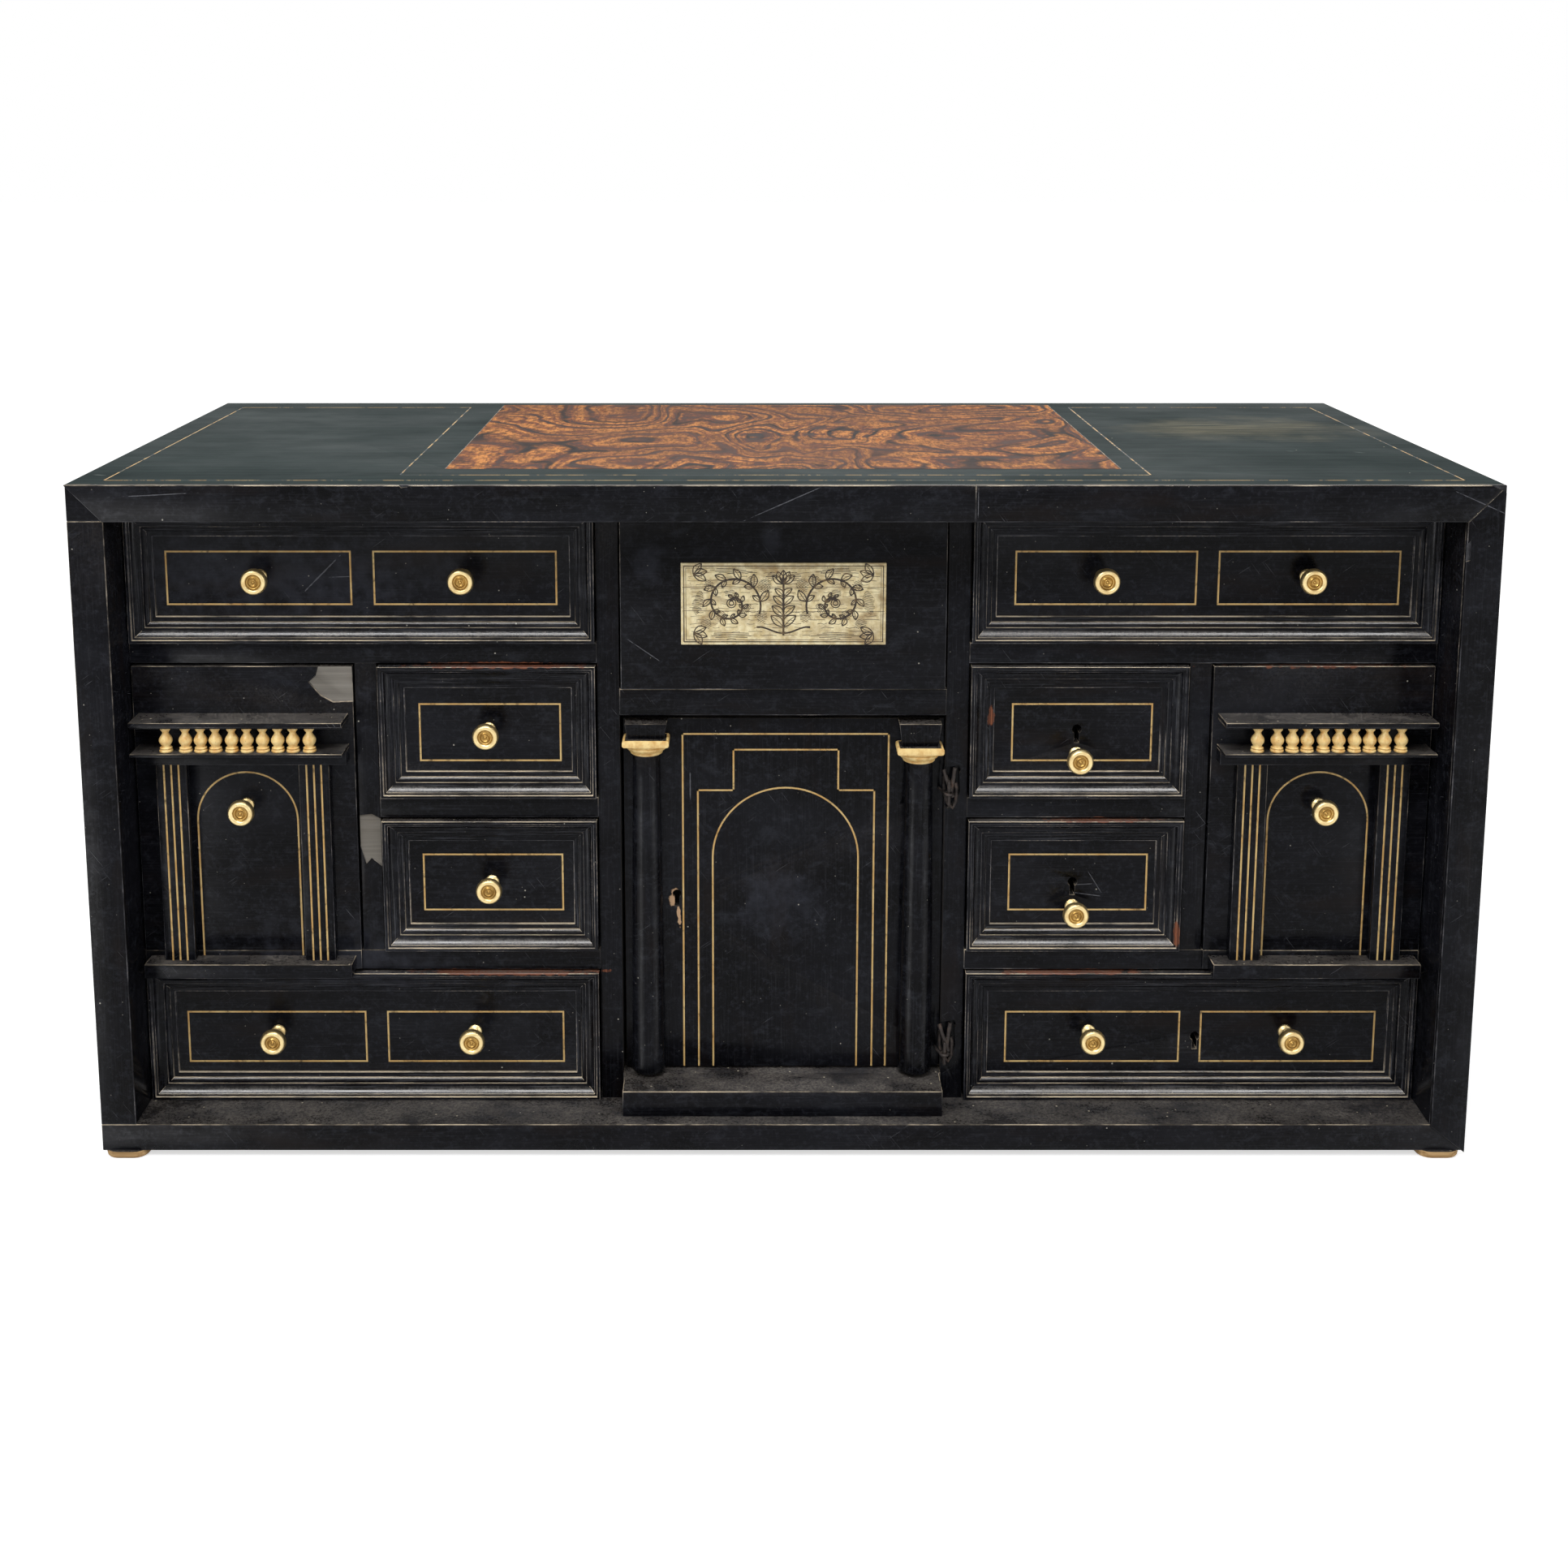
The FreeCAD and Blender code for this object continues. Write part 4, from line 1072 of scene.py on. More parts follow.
    def back(self, edge):
        """Two rough planks with a joint open by a hair, nailed round their ends."""
        low, high = corners("back_planks")
        joint, half_gap = (low.z + high.z) / 2, 0.4
        piece = joined([
            block(low, (high.x, high.y, joint - half_gap)), block((low.x, low.y, joint + half_gap), high)
        ])
        soften(piece, edge)
        settle(piece, "back", ("Oak board lengthways",), "back_planks", ("back_planks",))
        nails = [(x, z) for x in (low.x + 9, high.x - 9) for z in (52, 118, 186, 258, 325, 394)]
        nails += [(x, z) for x in (-300, -152, 4, 149, 303) for z in (low.z + 8, high.z - 9)]
        turns = [math.tau * k / 10 for k in range(10)]
        half_wide, half_high, sunk, clear = 2.7, 2.4, 0.4, 2
        heads = []
        for x, z in nails:
            outline = [(x + half_wide * math.cos(turn), z + half_high * math.sin(turn)) for turn in turns]
            heads.append(prism(outline, high.y - sunk, high.y + clear))
        let_in(piece, joined(heads), "Old iron")

    def feet(self):
        """Worn pads, rounded in plan and at their lower edges."""
        piece = merged_copy("feet")
        for rounding, upright in ((9.0, True), (2.2, False)):
            edit(piece, "EDGE")
            pick(piece, edges=lambda edge: (
                abs(edge.verts[0].co.z - edge.verts[1].co.z) > 3 * MM if upright
                else all(v.co.z < MM for v in edge.verts)
            ))
            bpy.ops.mesh.bevel(offset=rounding * MM, segments=5)
            close_edit()
        bpy.ops.object.shade_smooth_by_angle(angle=math.radians(30))
        paint_faces(piece, 1, lambda face: face.center.z > 4 * MM)
        settle(piece, "foot_pads", ("Worn foot", "Ebonised pearwood lengthways"), "feet", ("feet",))


class CABINET_OT_top(CabinetPiece, bpy.types.Operator):
    """Finish the top with its burl panel and string inlay"""
    bl_idname = "cabinet.top"
    bl_label = "Top"

    def execute(self, context):
        materials = ("Faded ebonised top", "Rubbed and sheened ebonised edge", "Ebonised pearwood lengthways")
        z = corners("top_board")[1].z
        board = dressed("top_board", materials, sizes().worn_edge, other=lambda face: face.normal.z < 0.5)
        panel = dressed("burl_panel", ("Burr walnut veneer", "Burr walnut veneer"), 0.12 * MM)
        # The boards give way by what the strings stand proud, so that the cabinet isn't any higher
        for piece in (board, panel):
            edit(piece, "VERT")
            pick(piece, verts=lambda v: v.co.z > (z - 0.01) * MM)
            slide_selected((0, 0, -sizes().string_stand / MM))
            close_edit()
        # One string goes round the whole top, another round the burl panel
        front = corners("front_edge_facings")[0].y
        width = sizes().string_width / MM * 0.9
        end, panel_left, panel_right = 421, -241.5, 231
        near, inner_near, far = front + 17, front + 36, front + 344
        bars = [
            (-end, near, end, near + width), (-end, near, -end + width, far), (end - width, near, end, far),
            (-end, far - width, panel_left, far), (panel_right, far - width, end, far),
            (panel_left, inner_near, panel_right, inner_near + width),
            (panel_left, inner_near, panel_left + width, far),
            (panel_right - width, inner_near, panel_right, far),
        ]
        strings = [
            block((x_low, y_low, z - STRING_SUNK), (x_high, y_high, z))
            for x_low, y_low, x_high, y_high in bars
        ]
        settle(joined(strings), "top_strings", ("Worn string on the top",), "top_board")
        return {"FINISHED"}


class CABINET_OT_moulded_drawers(CabinetPiece, bpy.types.Operator):
    """Build the moulded drawer fronts with their inlay"""
    bl_idname = "cabinet.moulded_drawers"
    bl_label = "Moulded drawers"

    # String frames on each front: x from the middle outwards, and height
    frames = {
        "top_left": ((-393.4, 357.5, -275.0, 393.0), (-261.3, 357.5, -144.1, 393.0)),
        "top_right": ((147.6, 357.5, 263.7, 393.0), (276.9, 357.5, 392.9, 393.0)),
        "bottom_left": ((-393.4, 45.8, -275.0, 81.8), (-261.3, 45.8, -144.1, 81.8)),
        "bottom_right": ((147.6, 45.8, 263.7, 81.8), (276.9, 45.8, 392.9, 81.8)),
        "upper_left": ((-234.7, 253.8, -143.0, 292.6),),
        "lower_left": ((-234.7, 152.0, -143.0, 191.0),),
        "upper_right": ((147.6, 253.8, 238.5, 292.6),),
        "lower_right": ((147.6, 152.0, 238.5, 191.0),),
    }
    keyholes = {
        "upper_right": (189.75, 275.25), "lower_right": (189.75, 171.725), "bottom_right": (273.75, 64.075),
    }
    # Width of the moulding without its last small step
    band = 15.8

    def profile(self):
        """The moulding from its outer edge inwards: across, and out from the panel."""
        points = [(0.0, 8.8), (0.25, 9.0), (2.0, 9.0), (2.24, 8.8), (2.24, 7.83), (3.7, 7.83)]
        points += arc((3.7, 7.83), (5.44, 5.22), (9.28, 3.96), 7)
        points += [(9.3, 3.1)]
        points += arc((9.3, 3.1), (11.0, 3.35), (12.48, 2.16), 6)
        points += [(12.5, 1.26), (15.7, 1.26), (15.95, 1.1), (16.0, 0.0)]
        return points

    def execute(self, context):
        for key, string_places in self.frames.items():
            drawer = f"{key}_drawer"
            node = f"{drawer}_front"
            low, high = corners(node)
            panel = high.y - PANEL_THICK
            front = block((low.x, panel, low.z), high)
            edit(front)
            pick(front, faces=lambda face: face.normal.y < -0.5)
            across, out = 0.0, 0.0
            for next_across, next_out in self.profile():
                if next_across - across < 1e-6:
                    push(next_out - out, (0, -1, 0))
                else:
                    bpy.ops.mesh.inset(thickness=(next_across - across) * MM, depth=(next_out - out) * MM)
                across, out = next_across, next_out
            close_edit()
            if key in self.keyholes:
                self.cut_keyhole(front, self.keyholes[key], panel)
            for face in front.data.polygons:
                from_end = min(face.center.x / MM - low.x, high.x - face.center.x / MM)
                from_rim = min(face.center.z / MM - low.z, high.z - face.center.z / MM)
                if face.normal.y > 0.5:
                    face.material_index = 2
                elif min(from_end, from_rim) < self.band:
                    face.material_index = 3 if from_rim < from_end else 4
            # The moulding bands take the moulding finishes, whose grey streaks and pale edges are partly
            # painted sheen
            materials = (
                "Ebonised pearwood lengthways", "Rubbed and sheened moulding edge", "Oak board lengthways",
                "Rubbed and sheened moulding lengthways", "Rubbed and sheened moulding upright",
            )
            for material in materials:
                front.data.materials.append(finish(material))
            soften(front, sizes().moulding_edge, edge_material=1, angle=24)
            settle(front, f"{key}_moulded_front", materials, node, (node,))
            strings = [string_frame(*place, panel) for place in string_places]
            settle(joined(strings), f"{key}_strings", ("Boxwood string",), node)
        return {"FINISHED"}

    def cut_keyhole(self, front, place, panel):
        """A round hole with a slot for the key's bit under it."""
        x, z = place
        radius, slot_half, slot_low, slot_high, through = 3.1, 1.6, z - 9, z - 1, 20
        deselect()
        bpy.ops.mesh.primitive_cylinder_add(
            vertices=24, radius=radius * MM, depth=2 * through * MM,
            location=(x * MM, panel * MM, z * MM), rotation=(math.pi / 2, 0, 0),
        )
        bpy.ops.object.transform_apply(location=True, rotation=True, scale=True)
        carve(front, bpy.context.object)
        carve(front, block(
            (x - slot_half, panel - through, slot_low), (x + slot_half, panel + through, slot_high)
        ))


class CABINET_OT_tall_drawers(CabinetPiece, bpy.types.Operator):
    """Build the tall fronts with pilasters, cornice, balusters and inlay"""
    bl_idname = "cabinet.tall_drawers"
    bl_label = "Tall drawers"

    baluster_profile = (
        (0, 0), (3.8, 0), (4.2, 0.35), (4.25, 1.2), (3.9, 1.7), (3.3, 2.0), (3.8, 2.3), (3.95, 2.8),
        (3.6, 3.2), (2.8, 3.6), (2.7, 4.1), (3.2, 5.0), (3.95, 6.2), (4.25, 7.4), (4.1, 8.7), (3.4, 10.1),
        (2.5, 11.3), (2.0, 12.3), (2.0, 12.9), (2.5, 13.7), (3.0, 14.3), (3.2, 14.8), (3.2, 15.6),
        (2.9, 16.0), (0, 16.0),
    )
    # Places of the balusters along the shelf, from the first: the first one stands apart
    baluster_steps = (0, 12.4, 22.0, 31.3, 41.6, 51.2, 61.2, 70.7, 80.2, 90.6)
    # Middle of each pilaster from the middle of the front, its half width, and how far it stands out
    pilaster_x, pilaster_half, pilaster_out = 45.6, 9.75, 8

    def execute(self, context):
        for hand in ("left", "right"):
            self.front(hand)
            self.balusters(hand)
        return {"FINISHED"}

    def front(self, hand):
        """A board with an arched panel between pilasters, over a plinth and under a cornice."""
        node = f"tall_{hand}_drawer_front"
        low, high = corners(node)
        panel = high.y - PANEL_THICK
        board_low = corners(f"tall_{hand}_drawer_box")[0].z
        shelf_high = corners(f"tall_{hand}_drawer_balusters")[0].z
        bed_low = corners(f"tall_{hand}_drawer_balusters")[1].z
        plinth_high, frieze_low = low.z + 9.5, shelf_high - 11
        apron_thick, inset = 1.6, 3.5
        x_low, x_high = low.x + inset, high.x - inset
        middle = (x_low + x_high) / 2
        parts = [
            block((low.x, panel, board_low), high),
            block((low.x, panel, low.z), (high.x, panel + apron_thick, board_low)),
        ]

        def rail(reach, z_low, z_high):
            return block((x_low, panel - reach, z_low), (x_high, panel, z_high))

        # Plinth, frieze, the shelf that the balusters stand on, and the bed and slab of the cornice
        parts += [
            rail(15, low.z, plinth_high), rail(10, frieze_low, shelf_high - 2),
            rail(22, shelf_high - 2, shelf_high), rail(20, bed_low, bed_low + 1.4),
            rail(22, bed_low + 1.4, bed_low + 4.4),
        ]
        for part in parts:
            paint_faces(part, 2, lambda face: face.normal.y > 0.5)
        if hand == "left":
            # This front has lost a flake of its veneer
            carve(parts[0], prism([
                (-303.5, 309), (-299, 313), (-297, 320), (-273, 320), (-273, 296), (-288, 295.5), (-296, 300),
            ], panel - 2, panel + VENEER_THICK))
            paint_faces(parts[0], 4, lambda face: abs(face.center.y / MM - panel - VENEER_THICK) < 0.01)
        pilaster_front, half = panel - self.pilaster_out, self.pilaster_half
        for x in (middle - self.pilaster_x, middle + self.pilaster_x):
            pilaster = block((x - half, pilaster_front, plinth_high), (x + half, panel, frieze_low))
            paint_faces(pilaster, 3)
            parts.append(pilaster)
        materials = LENGTHWAYS + ("Ebonised pearwood upright", "Wood under lost veneer")
        piece = joined(parts, materials)
        soften(piece, 0.4 * MM, edge_material=1)
        settle(piece, f"tall_{hand}_front", materials, node, (node,))
        arch_spring, arch_radius, pitch = 216.5, 32.3, 4.7
        strings = [string_arch(middle, arch_spring, arch_radius, plinth_high, panel)]
        half = sizes().string_width / MM / 2
        for way in (-1, 1):
            for step in (-pitch, 0, pitch):
                x = middle + way * self.pilaster_x + step
                strings += string_bars([(x - half, plinth_high, x + half, frieze_low)], pilaster_front)
        settle(joined(strings), f"tall_{hand}_strings", ("Boxwood string",), node)

    def balusters(self, hand):
        """The row of turned balusters between shelf and cornice."""
        node = f"tall_{hand}_drawer_balusters"
        low, high = corners(node)
        radius = 4.5
        one = turned(self.baluster_profile, (0, 0, 1), 20)
        bpy.ops.object.shade_smooth_by_angle(angle=math.radians(50))
        row = [
            copy_at(one, (
                low.x + radius + step * (high.x - low.x - 2 * radius) / self.baluster_steps[-1],
                low.y + radius, low.z,
            ))
            for step in self.baluster_steps
        ]
        bpy.data.objects.remove(one)
        settle(joined(row), f"tall_{hand}_balusters", ("Turned yellow bone",), node, (node,))


class CABINET_OT_centre_drawer(CabinetPiece, bpy.types.Operator):
    """Finish the centre drawer and its engraved plaque"""
    bl_idname = "cabinet.centre_drawer"
    bl_label = "Centre drawer"

    def execute(self, context):
        dressed("centre_drawer_front", LENGTHWAYS, sizes().worn_edge, other=lambda face: face.normal.y > 0.5)
        dressed("centre_drawer_plaque", ("Bone plaque", "Bone plaque"), 0.35 * MM)
        self.engrave()
        return {"FINISHED"}

    def engrave(self):
        """Leaf scrolls on both sides of an upright spray, inside a double line."""
        low, high = corners("centre_drawer_plaque")
        middle_x, middle_z = (low.x + high.x) / 2, (low.z + high.z) / 2
        lines = []

        def stroke(points, thick=1.0):
            lines.append(([(middle_x + px, low.y, middle_z + pz) for px, pz in points], thick))

        def leaf(base, way, size, curl):
            """A leaf from its base along a direction, with its midrib."""
            tip = (base[0] + size * math.cos(way), base[1] + size * math.sin(way))
            side_x, side_z = -math.sin(way), math.cos(way)
            for bulge in (0.36 + curl, -0.30 + curl, curl * 0.7):
                points = []
                for k in range(9):
                    t = k / 8
                    swell = math.sin(math.pi * t) * bulge * size * 0.75
                    points.append((
                        base[0] + (tip[0] - base[0]) * t + side_x * swell,
                        base[1] + (tip[1] - base[1]) * t + side_z * swell,
                    ))
                stroke(points, 0.9 if bulge == curl * 0.7 else 1.5)

        half_x, half_z = (high.x - low.x) / 2, (high.z - low.z) / 2
        for inset, thick in ((1.9, 1.6), (3.2, 0.8)):
            x, z = half_x - inset, half_z - inset
            stroke([(-x, -z), (x, -z), (x, z), (-x, z), (-x, -z)], thick)

        def hatch(x, z, wide, tall, lean, pitch=0.95):
            """Shading of parallel lines in a ragged lens."""
            for k in range(int(tall / pitch) + 1):
                across = k * pitch - tall / 2
                round_end = math.sqrt(max(0.05, 1 - (2 * across / tall) ** 2))
                reach = wide / 2 * round_end * dice.uniform(0.75, 1.1)
                ends = [(-reach, across), (0, across + 0.35), (reach, across)]
                turn_x, turn_z = math.cos(lean), math.sin(lean)
                stroke([(x + a * turn_x - b * turn_z, z + a * turn_z + b * turn_x) for a, b in ends], 0.75)

        dice = random.Random(11)
        for mirror in (-1, 1):
            centre = (mirror * 33.0, 0.5)
            spiral = []
            for k in range(61):
                t = k / 60
                angle = math.pi * (1.12 - 2.75 * t)
                radius = 17.5 * (1 - t) ** 0.85 + 1.6
                spiral.append((
                    centre[0] + mirror * radius * math.cos(angle), centre[1] + radius * math.sin(angle),
                ))
            stroke(spiral, 2.6)
            for k in range(3, 58, 4):
                (ax, az), (bx, bz) = spiral[k - 1], spiral[k + 1]
                along = math.atan2(bz - az, bx - ax)
                size = 9.5 * (1 - k / 90)
                for lean in (0.75, -0.75):
                    leaf(spiral[k], along + lean, size * (1 if lean * mirror > 0 else 0.7), 0.08 * mirror)
            for ring in (1.5, 2.9):
                stroke([
                    (centre[0] + ring * math.cos(turn), centre[1] + ring * math.sin(turn))
                    for turn in [math.tau * k / 12 for k in range(13)]
                ], 1.4)
            for dx, dz, turn in ((57, 19, 0.25), (57, -19, -0.25)):
                for fan in (-0.7, 0, 0.7):
                    leaf((mirror * dx, dz), (math.pi - turn - fan) if mirror > 0 else turn + fan, 9, 0.05)
            steps = [k / 12 for k in range(13)]
            stroke([(mirror * t * 17, -19 + 5 * math.sin(t * 2.2) * t) for t in steps], 2.2)
            for x, z, wide, tall, lean in (
                (12, 12, 9, 9, 0.5), (54, 1, 7, 16, 0.2), (33, 21.3, 26, 3.5, 0.05), (14, -8, 8, 8, -0.4),
                (33, -20.5, 30, 4.5, 0.0), (33, 6.5, 9, 5, 0.2), (40, -7.5, 9, 6, 0.6), (24, -3, 6, 8, 0.9),
                (47, 12, 7, 6, -0.5), (49, -13, 8, 6, 0.4), (7, 18, 8, 5, 0.1), (20, 15, 7, 6, -0.3),
            ):
                hatch(mirror * x, z, wide, tall, mirror * lean)
        stroke([(0, -20.5), (0, 14)], 2.4)
        for level, size in ((-15, 11), (-8, 10), (-1, 9), (5, 7.5)):
            for way in (0.75, math.pi - 0.75):
                leaf((0, level), way, size, 0.1 if way < 1 else -0.1)
        for fan in (-0.9, -0.45, 0, 0.45, 0.9):
            leaf((0, 13), math.pi / 2 + fan, 9, 0.0)
        # Broken lines of the ground behind the leaves
        for k in range(17):
            z, x = -20.5 + 2.55 * k, dice.uniform(-61, -55)
            while x < 56:
                reach = dice.uniform(4, 11)
                stroke([
                    (min(x + reach * t / 3, 61), z + dice.uniform(-0.45, 0.45)) for t in range(4)
                ], dice.uniform(0.4, 0.7))
                x += reach + dice.uniform(2.5, 11)
        # Fine cracks across the bone
        for z in (11.2, -4.8):
            stroke([(x, z + dice.uniform(-0.5, 0.5)) for x in (-64, -40, -22, -5, 14, 31, 50, 64)], 0.6)
        piece = wires("engraving", lines, sizes().engraved_line, low.y)
        settle(piece, "plaque_engraving", ("Engraving ink",), "centre_drawer_plaque")


class CABINET_OT_door(CabinetPiece, bpy.types.Operator):
    """Build the door with its columns, capitals and inlay"""
    bl_idname = "cabinet.door"
    bl_label = "Door"

    # From the top of a capital down to the top of its column's shaft
    capital_high = 12

    def column_places(self):
        """The x of each column and the top of its capital; the right one sits lower, as in the photograph."""
        top = corners("door_capitals")[1].z
        from_middle, dropped = 88, 5
        return (-from_middle, top), (from_middle, top - dropped)

    def execute(self, context):
        materials = ("Ebonised pearwood upright", "Rubbed and sheened ebonised edge", "Oak board lengthways")
        dressed("door_panel", materials, 0.4 * MM, other=lambda face: face.normal.y > 0.5)
        self.columns(materials)
        self.capitals()
        face = corners("door_panel")[0].y
        foot = corners("door_panel")[0].z
        w = sizes().string_width / MM
        # A plain outer string, an inner one that steps up in its middle, and an arch, all open at the foot
        left, right, top = -65.4, 69.2, 272
        inner_left, inner_right, shoulder = -55.6, 60.2, 234
        step_left, step_right, step_top = -32.4, 36.7, 261.4
        arch_x, arch_spring, arch_radius = 2, 187.7, 47.5
        bars = [
            (left, foot, left + w, top), (right - w, foot, right, top), (left, top - w, right, top),
            (inner_left, foot, inner_left + w, shoulder), (inner_right - w, foot, inner_right, shoulder),
            (inner_left, shoulder - w, step_left + w, shoulder),
            (step_right - w, shoulder - w, inner_right, shoulder),
            (step_left, shoulder - w, step_left + w, step_top),
            (step_right - w, shoulder - w, step_right, step_top),
            (step_left, step_top - w, step_right, step_top),
        ]
        strings = string_bars(bars, face) + [string_arch(arch_x, arch_spring, arch_radius, foot, face)]
        settle(joined(strings), "door_strings", ("Boxwood string",), "door_panel")
        return {"FINISHED"}

    def columns(self, materials):
        """Tapering round columns cut flat at the door, under a plain block each."""
        face = corners("door_panel")[0].y
        parts = []
        low, high = corners("door_columns")
        radius, taper, straight, axis_out = 11, 2.2, 4, 4
        head_half, head_out, head_taper = 13.5, 13, 0.86
        for x, top in self.column_places():
            rise = top - self.capital_high - low.z
            outline = [(0, 0), (radius - 0.4, 0), (radius, 0.5), (radius, straight)]
            for k in range(1, 11):
                outline.append((radius - taper * (k / 10) ** 1.3, straight + (rise - straight) * k / 10))
            column = turned(outline + [(0, rise)], (0, 0, 1), 36)
            column.data.transform(Matrix.Translation((x * MM, (face - axis_out) * MM, low.z * MM)))
            cut_plane(column, (0, face, 0), (0, -1, 0))
            parts.append(column)
            head = block((x - head_half, face - head_out, top), (x + head_half, face, high.z))
            edit(head)
            pick(head, faces=lambda face: face.normal.z < -0.5)
            bpy.ops.transform.resize(value=(head_taper, 1, 1))
            close_edit()
            parts.append(head)
        piece = joined(parts, materials)
        soften(piece, 0.4 * MM, edge_material=1, angle=40)
        settle(piece, "columns", materials, "door_columns", ("door_columns",))

    def capitals(self):
        """Turned half capitals: a flared bowl of two rings under a square plate with lobed ends."""
        face = corners("door_panel")[0].y
        profile = [
            (0, 0), (9.4, 0), (10.3, 0.3), (10.6, 1.1), (10.1, 1.8), (10.9, 2.2), (12.3, 3.0), (13.2, 4.1),
            (13.6, 5.1), (13.2, 5.6), (12.9, 5.9), (13.8, 6.2), (14.3, 6.9), (14.2, 7.6), (0, 7.6),
        ]
        axis_out, plate_half, plate_out, plate_thick = 2.6, 15, 17.4, 4.5
        parts = []
        for x, top in self.column_places():
            bowl = turned(profile, (0, 0, 1), 36)
            foot = top - self.capital_high
            bowl.data.transform(Matrix.Translation((x * MM, (face - axis_out) * MM, foot * MM)))
            cut_plane(bowl, (0, face, 0), (0, -1, 0))
            parts.append(bowl)
            plate = block((x - plate_half, face - plate_out, top - plate_thick), (x + plate_half, face, top))
            edit(plate, "EDGE")

            def front_to_back(edge):
                """The level edges along the plate's two ends."""
                a, b = (v.co for v in edge.verts)
                at_an_end = min(abs(a.x - x * MM), abs(b.x - x * MM)) > (plate_half - 1) * MM
                return at_an_end and max(abs(a.z - b.z), abs(a.x - b.x)) < MM

            def black_top(face):
                """The middle of the plate's upper face."""
                in_the_middle = abs(face.center.x - x * MM) < 2 * MM
                return face.normal.z > 0.9 and in_the_middle and face.area > 100 * MM * MM

            pick(plate, edges=front_to_back)
            bpy.ops.mesh.bevel(offset=1.5 * MM, segments=4)
            close_edit()
            edit(plate)
            pick(plate, faces=lambda face: face.normal.z > 0.9)
            bpy.ops.mesh.inset(thickness=1.0 * MM, depth=0)
            close_edit()
            paint_faces(plate, 1, black_top)
            parts.append(plate)
        materials = ("Turned yellow bone", "Ebonised pearwood lengthways")
        piece = joined(parts, materials)
        soften(piece, 0.25 * MM, angle=40)
        settle(piece, "capitals", materials, "door_capitals", ("door_capitals",))


class CABINET_OT_knobs(CabinetPiece, bpy.types.Operator):
    """Turn the brass knobs"""
    bl_idname = "cabinet.knobs"
    bl_label = "Knobs"

    # (radius, out from the front)
    profile = (
        (0, 0), (4.4, 0), (4.75, 0.3), (4.7, 1.3), (4.2, 1.8), (3.2, 2.4), (2.6, 3.6), (2.35, 5.6),
        (2.35, 7.8), (2.7, 9.2), (3.5, 10.3), (5.2, 11.0), (6.8, 11.9), (7.8, 13.1), (8.35, 14.6),
        (8.4, 16.2), (8.15, 17.4), (7.7, 18.4), (7.0, 19.0), (6.2, 19.2), (5.4, 18.9), (4.8, 18.2),
        (4.5, 17.5), (4.0, 17.1), (3.4, 17.2), (3.0, 17.7), (2.6, 18.0), (2.1, 17.6), (1.7, 17.2),
        (1.2, 17.3), (0.9, 17.9), (0.5, 18.4), (0, 18.5),
    )

    def execute(self, context):
        one = turned(self.profile, (0, -1, 0), sizes().turning_steps)
        # The dished middle of the head is darker than the rest
        dish_radius, dish_out = 4.7, 17
        head_radius, reach, pair_apart = 8.4, 20, 60
        paint_faces(one, 1, lambda face: (
            math.hypot(face.center.x, face.center.z) < dish_radius * MM and face.center.y < -dish_out * MM
        ))
        bpy.ops.object.shade_smooth_by_angle(angle=math.radians(60))
        for node in sorted(frame["nodes"]):
            if "knob" not in node:
                continue
            low, high = corners(node)
            places = [(low.x + high.x) / 2]
            if high.x - low.x > pair_apart:
                places = [low.x + head_radius, high.x - head_radius]
            copies = [copy_at(one, (x, low.y + reach, (low.z + high.z) / 2)) for x in places]
            materials = ("Turned brass", "Brass in the hollows")
            settle(joined(copies, materials), node.replace("_drawer_", "_turned_"), materials, node, (node,))
        bpy.data.objects.remove(one)
        return {"FINISHED"}


class CABINET_OT_drawer_boxes(CabinetPiece, bpy.types.Operator):
    """Build the bare drawer boxes behind the fronts"""
    bl_idname = "cabinet.drawer_boxes"
    bl_label = "Drawer boxes"

    def execute(self, context):
        wall, bottom = 8, 5
        for node in sorted(frame["nodes"]):
            if not node.endswith("_box"):
                continue
            low, high = corners(node)
            sides = [
                block(low, (low.x + wall, high.y, high.z)), block((high.x - wall, low.y, low.z), high)
            ]
            cross = [
                block((low.x + wall, low.y, low.z), (high.x - wall, high.y, low.z + bottom)),
                block((low.x + wall, high.y - wall, low.z + bottom), (high.x - wall, high.y, high.z)),
            ]
            for part in cross:
                paint_faces(part, 1)
            materials = ("Oak board front to back", "Oak board lengthways")
            piece = joined(sides + cross, materials)
            soften(piece, sizes().box_edge)
            settle(piece, node.replace("_drawer_box", "_box_boards"), materials, node, (node,))
        return {"FINISHED"}


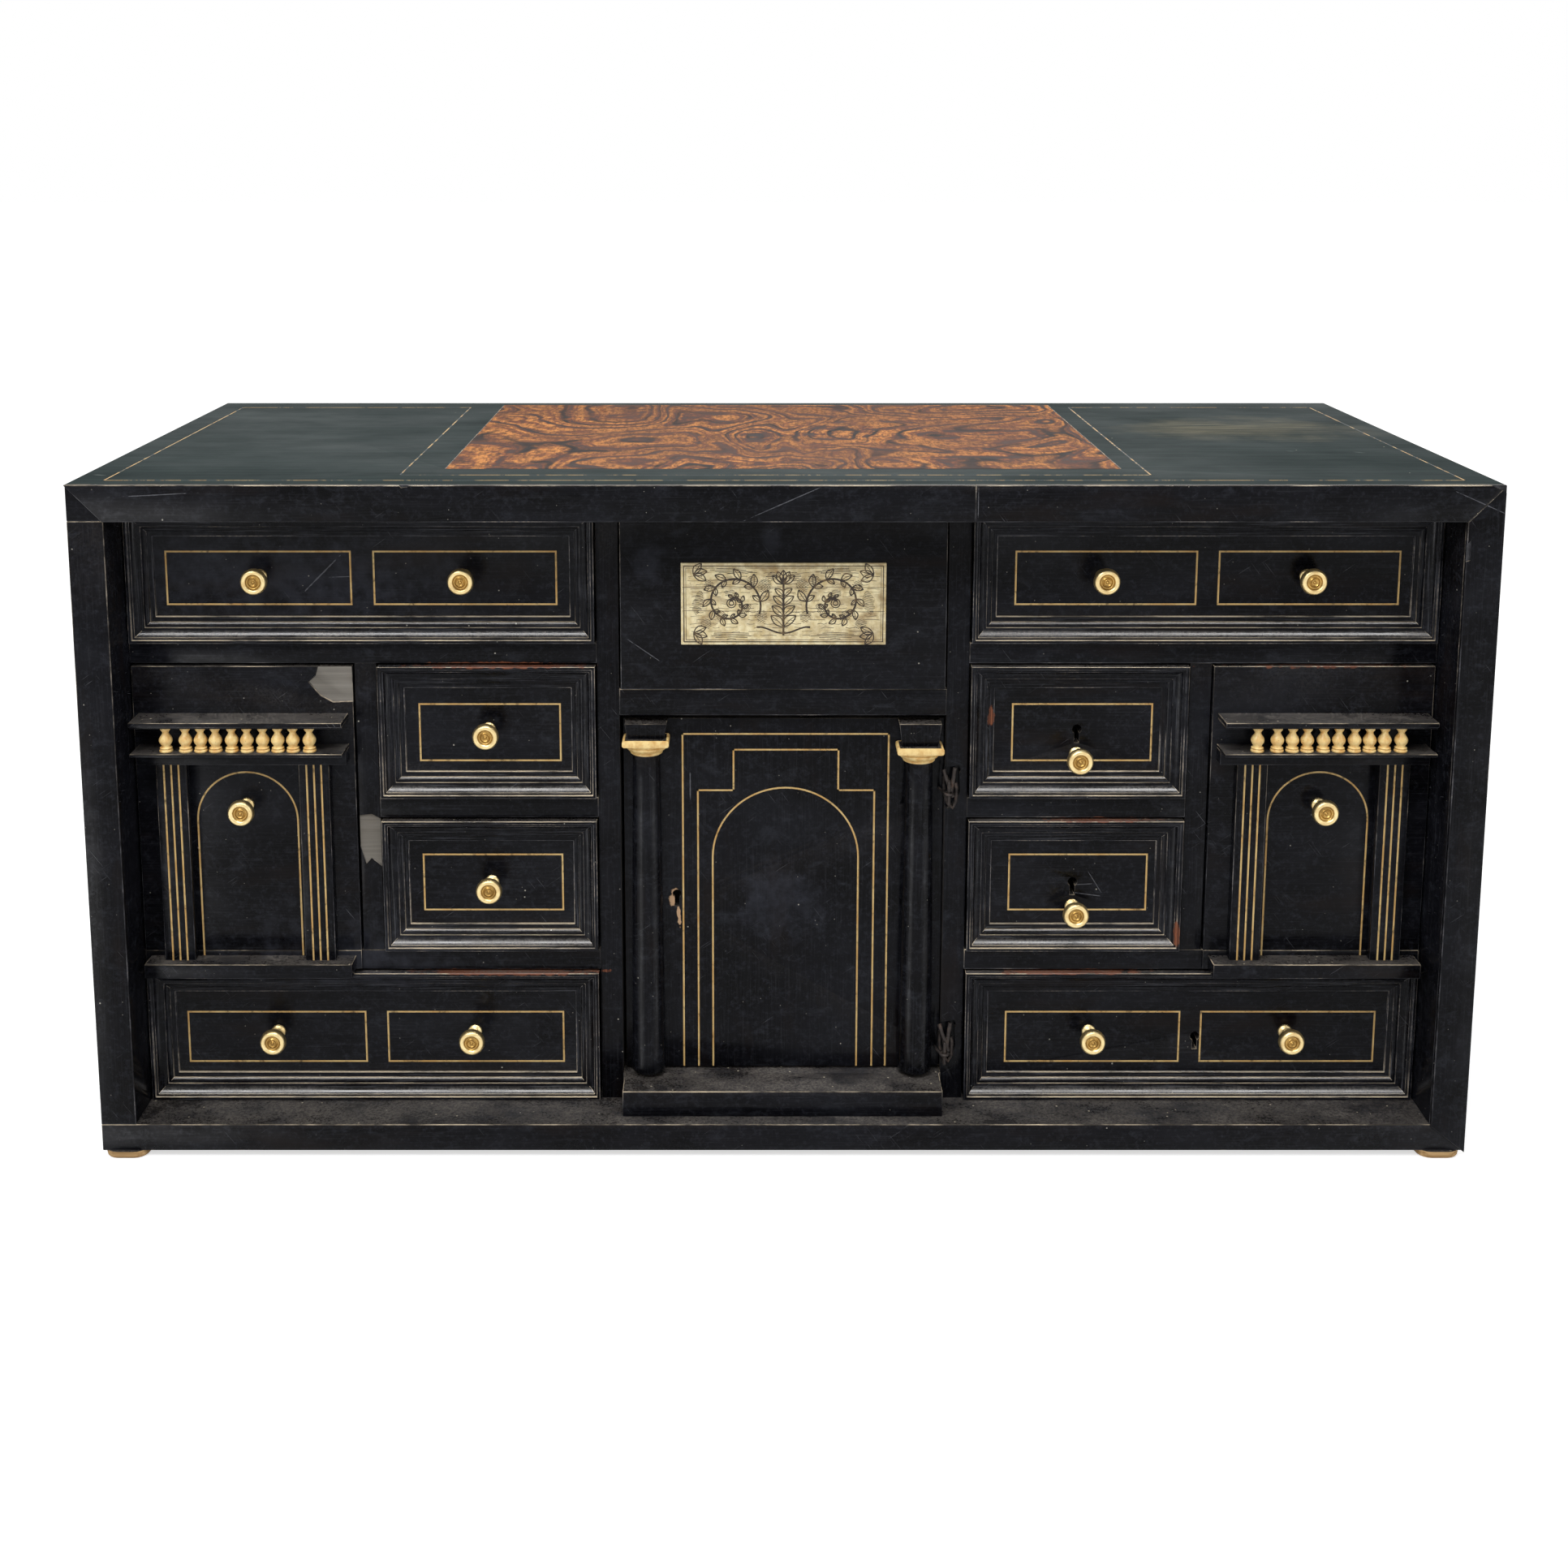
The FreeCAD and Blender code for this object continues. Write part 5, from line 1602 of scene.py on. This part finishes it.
class CABINET_OT_ironwork(CabinetPiece, bpy.types.Operator):
    """Finish the locks and the wire hinges"""
    bl_idname = "cabinet.ironwork"
    bl_label = "Ironwork"

    def execute(self, context):
        for node in sorted(frame["nodes"]):
            if node_slot[node] == "iron":
                if "lock" in node:
                    dressed(node, ("Old iron", "Old iron"), 0.2 * MM)
                else:
                    frame["nodes"][node].data.materials.clear()
                    frame["nodes"][node].data.materials.append(finish("Old iron"))
        self.clenched_legs()
        return {"FINISHED"}

    def clenched_legs(self):
        """The ends of each wire hinge, driven through and bent over on the divider's front edge."""
        low, high = corners("hinge_staples")
        aside, out_of_wood, wire = 2.2, 0.3, 2.7
        x = (low.x + high.x) / 2 + aside
        y = corners("dividers")[0].y - out_of_wood
        # Each leg's points from the middle of its hinge, and its thickness
        lines = []
        for z in HINGE_HEIGHTS:
            for leg, thick in (
                (((-5.4, 0, 13), (-3.8, -1, 7), (-1.2, -1.6, 1), (0.4, -1.2, -5)), 1.0),
                (((1.8, 0, 14), (0.9, -0.6, 8), (-0.2, -0.8, 1), (-0.2, -0.6, -5)), 1.0),
                (((-5.2, 0.8, 8), (-5, 0, -2), (-3, -0.6, -9), (0.6, -0.8, -12.5), (2.6, -0.6, -8.5),
                  (3, -0.4, 0), (2.4, 0, 4)), 0.85),
            ):
                lines.append(([(x + across, y + out, z + up) for across, out, up in leg], thick))
        piece = wires("hinge_legs", lines, wire * MM, None)
        bpy.ops.object.shade_smooth_by_angle(angle=math.radians(60))
        settle(piece, "hinge_legs", ("Old iron",), "hinge_staples")


class CABINET_PT_panel(bpy.types.Panel):
    """Pieces, sizes and colours of the cabinet"""
    bl_label = "Cabinet"
    bl_space_type = "VIEW_3D"
    bl_region_type = "UI"
    bl_category = "Cabinet"

    def draw(self, context):
        for operator in operators:
            self.layout.operator(operator.bl_idname)
        for settings in (context.scene.cabinet_sizes, context.scene.cabinet_colours):
            for name in settings.bl_rna.properties.keys():
                if name not in ("rna_type", "name"):
                    self.layout.prop(settings, name)


operators = (
    CABINET_OT_finishes, CABINET_OT_stage, CABINET_OT_case, CABINET_OT_top, CABINET_OT_moulded_drawers,
    CABINET_OT_tall_drawers, CABINET_OT_centre_drawer, CABINET_OT_door, CABINET_OT_knobs,
    CABINET_OT_drawer_boxes, CABINET_OT_ironwork,
)
classes = (CabinetSizes, CabinetColours) + operators + (CABINET_PT_panel,)


def register():
    for made in classes:
        bpy.utils.register_class(made)
    bpy.types.Scene.cabinet_sizes = PointerProperty(type=CabinetSizes)
    bpy.types.Scene.cabinet_colours = PointerProperty(type=CabinetColours)


def unregister():
    del bpy.types.Scene.cabinet_colours
    del bpy.types.Scene.cabinet_sizes
    for made in reversed(classes):
        bpy.utils.unregister_class(made)


def main():
    register()
    bpy.ops.cabinet.finishes()
    bpy.ops.cabinet.stage()
    bpy.ops.cabinet.case()
    bpy.ops.cabinet.top()
    bpy.ops.cabinet.moulded_drawers()
    bpy.ops.cabinet.tall_drawers()
    bpy.ops.cabinet.centre_drawer()
    bpy.ops.cabinet.door()
    bpy.ops.cabinet.knobs()
    bpy.ops.cabinet.drawer_boxes()
    bpy.ops.cabinet.ironwork()
    deselect()


if __name__ == "__main__":
    main()
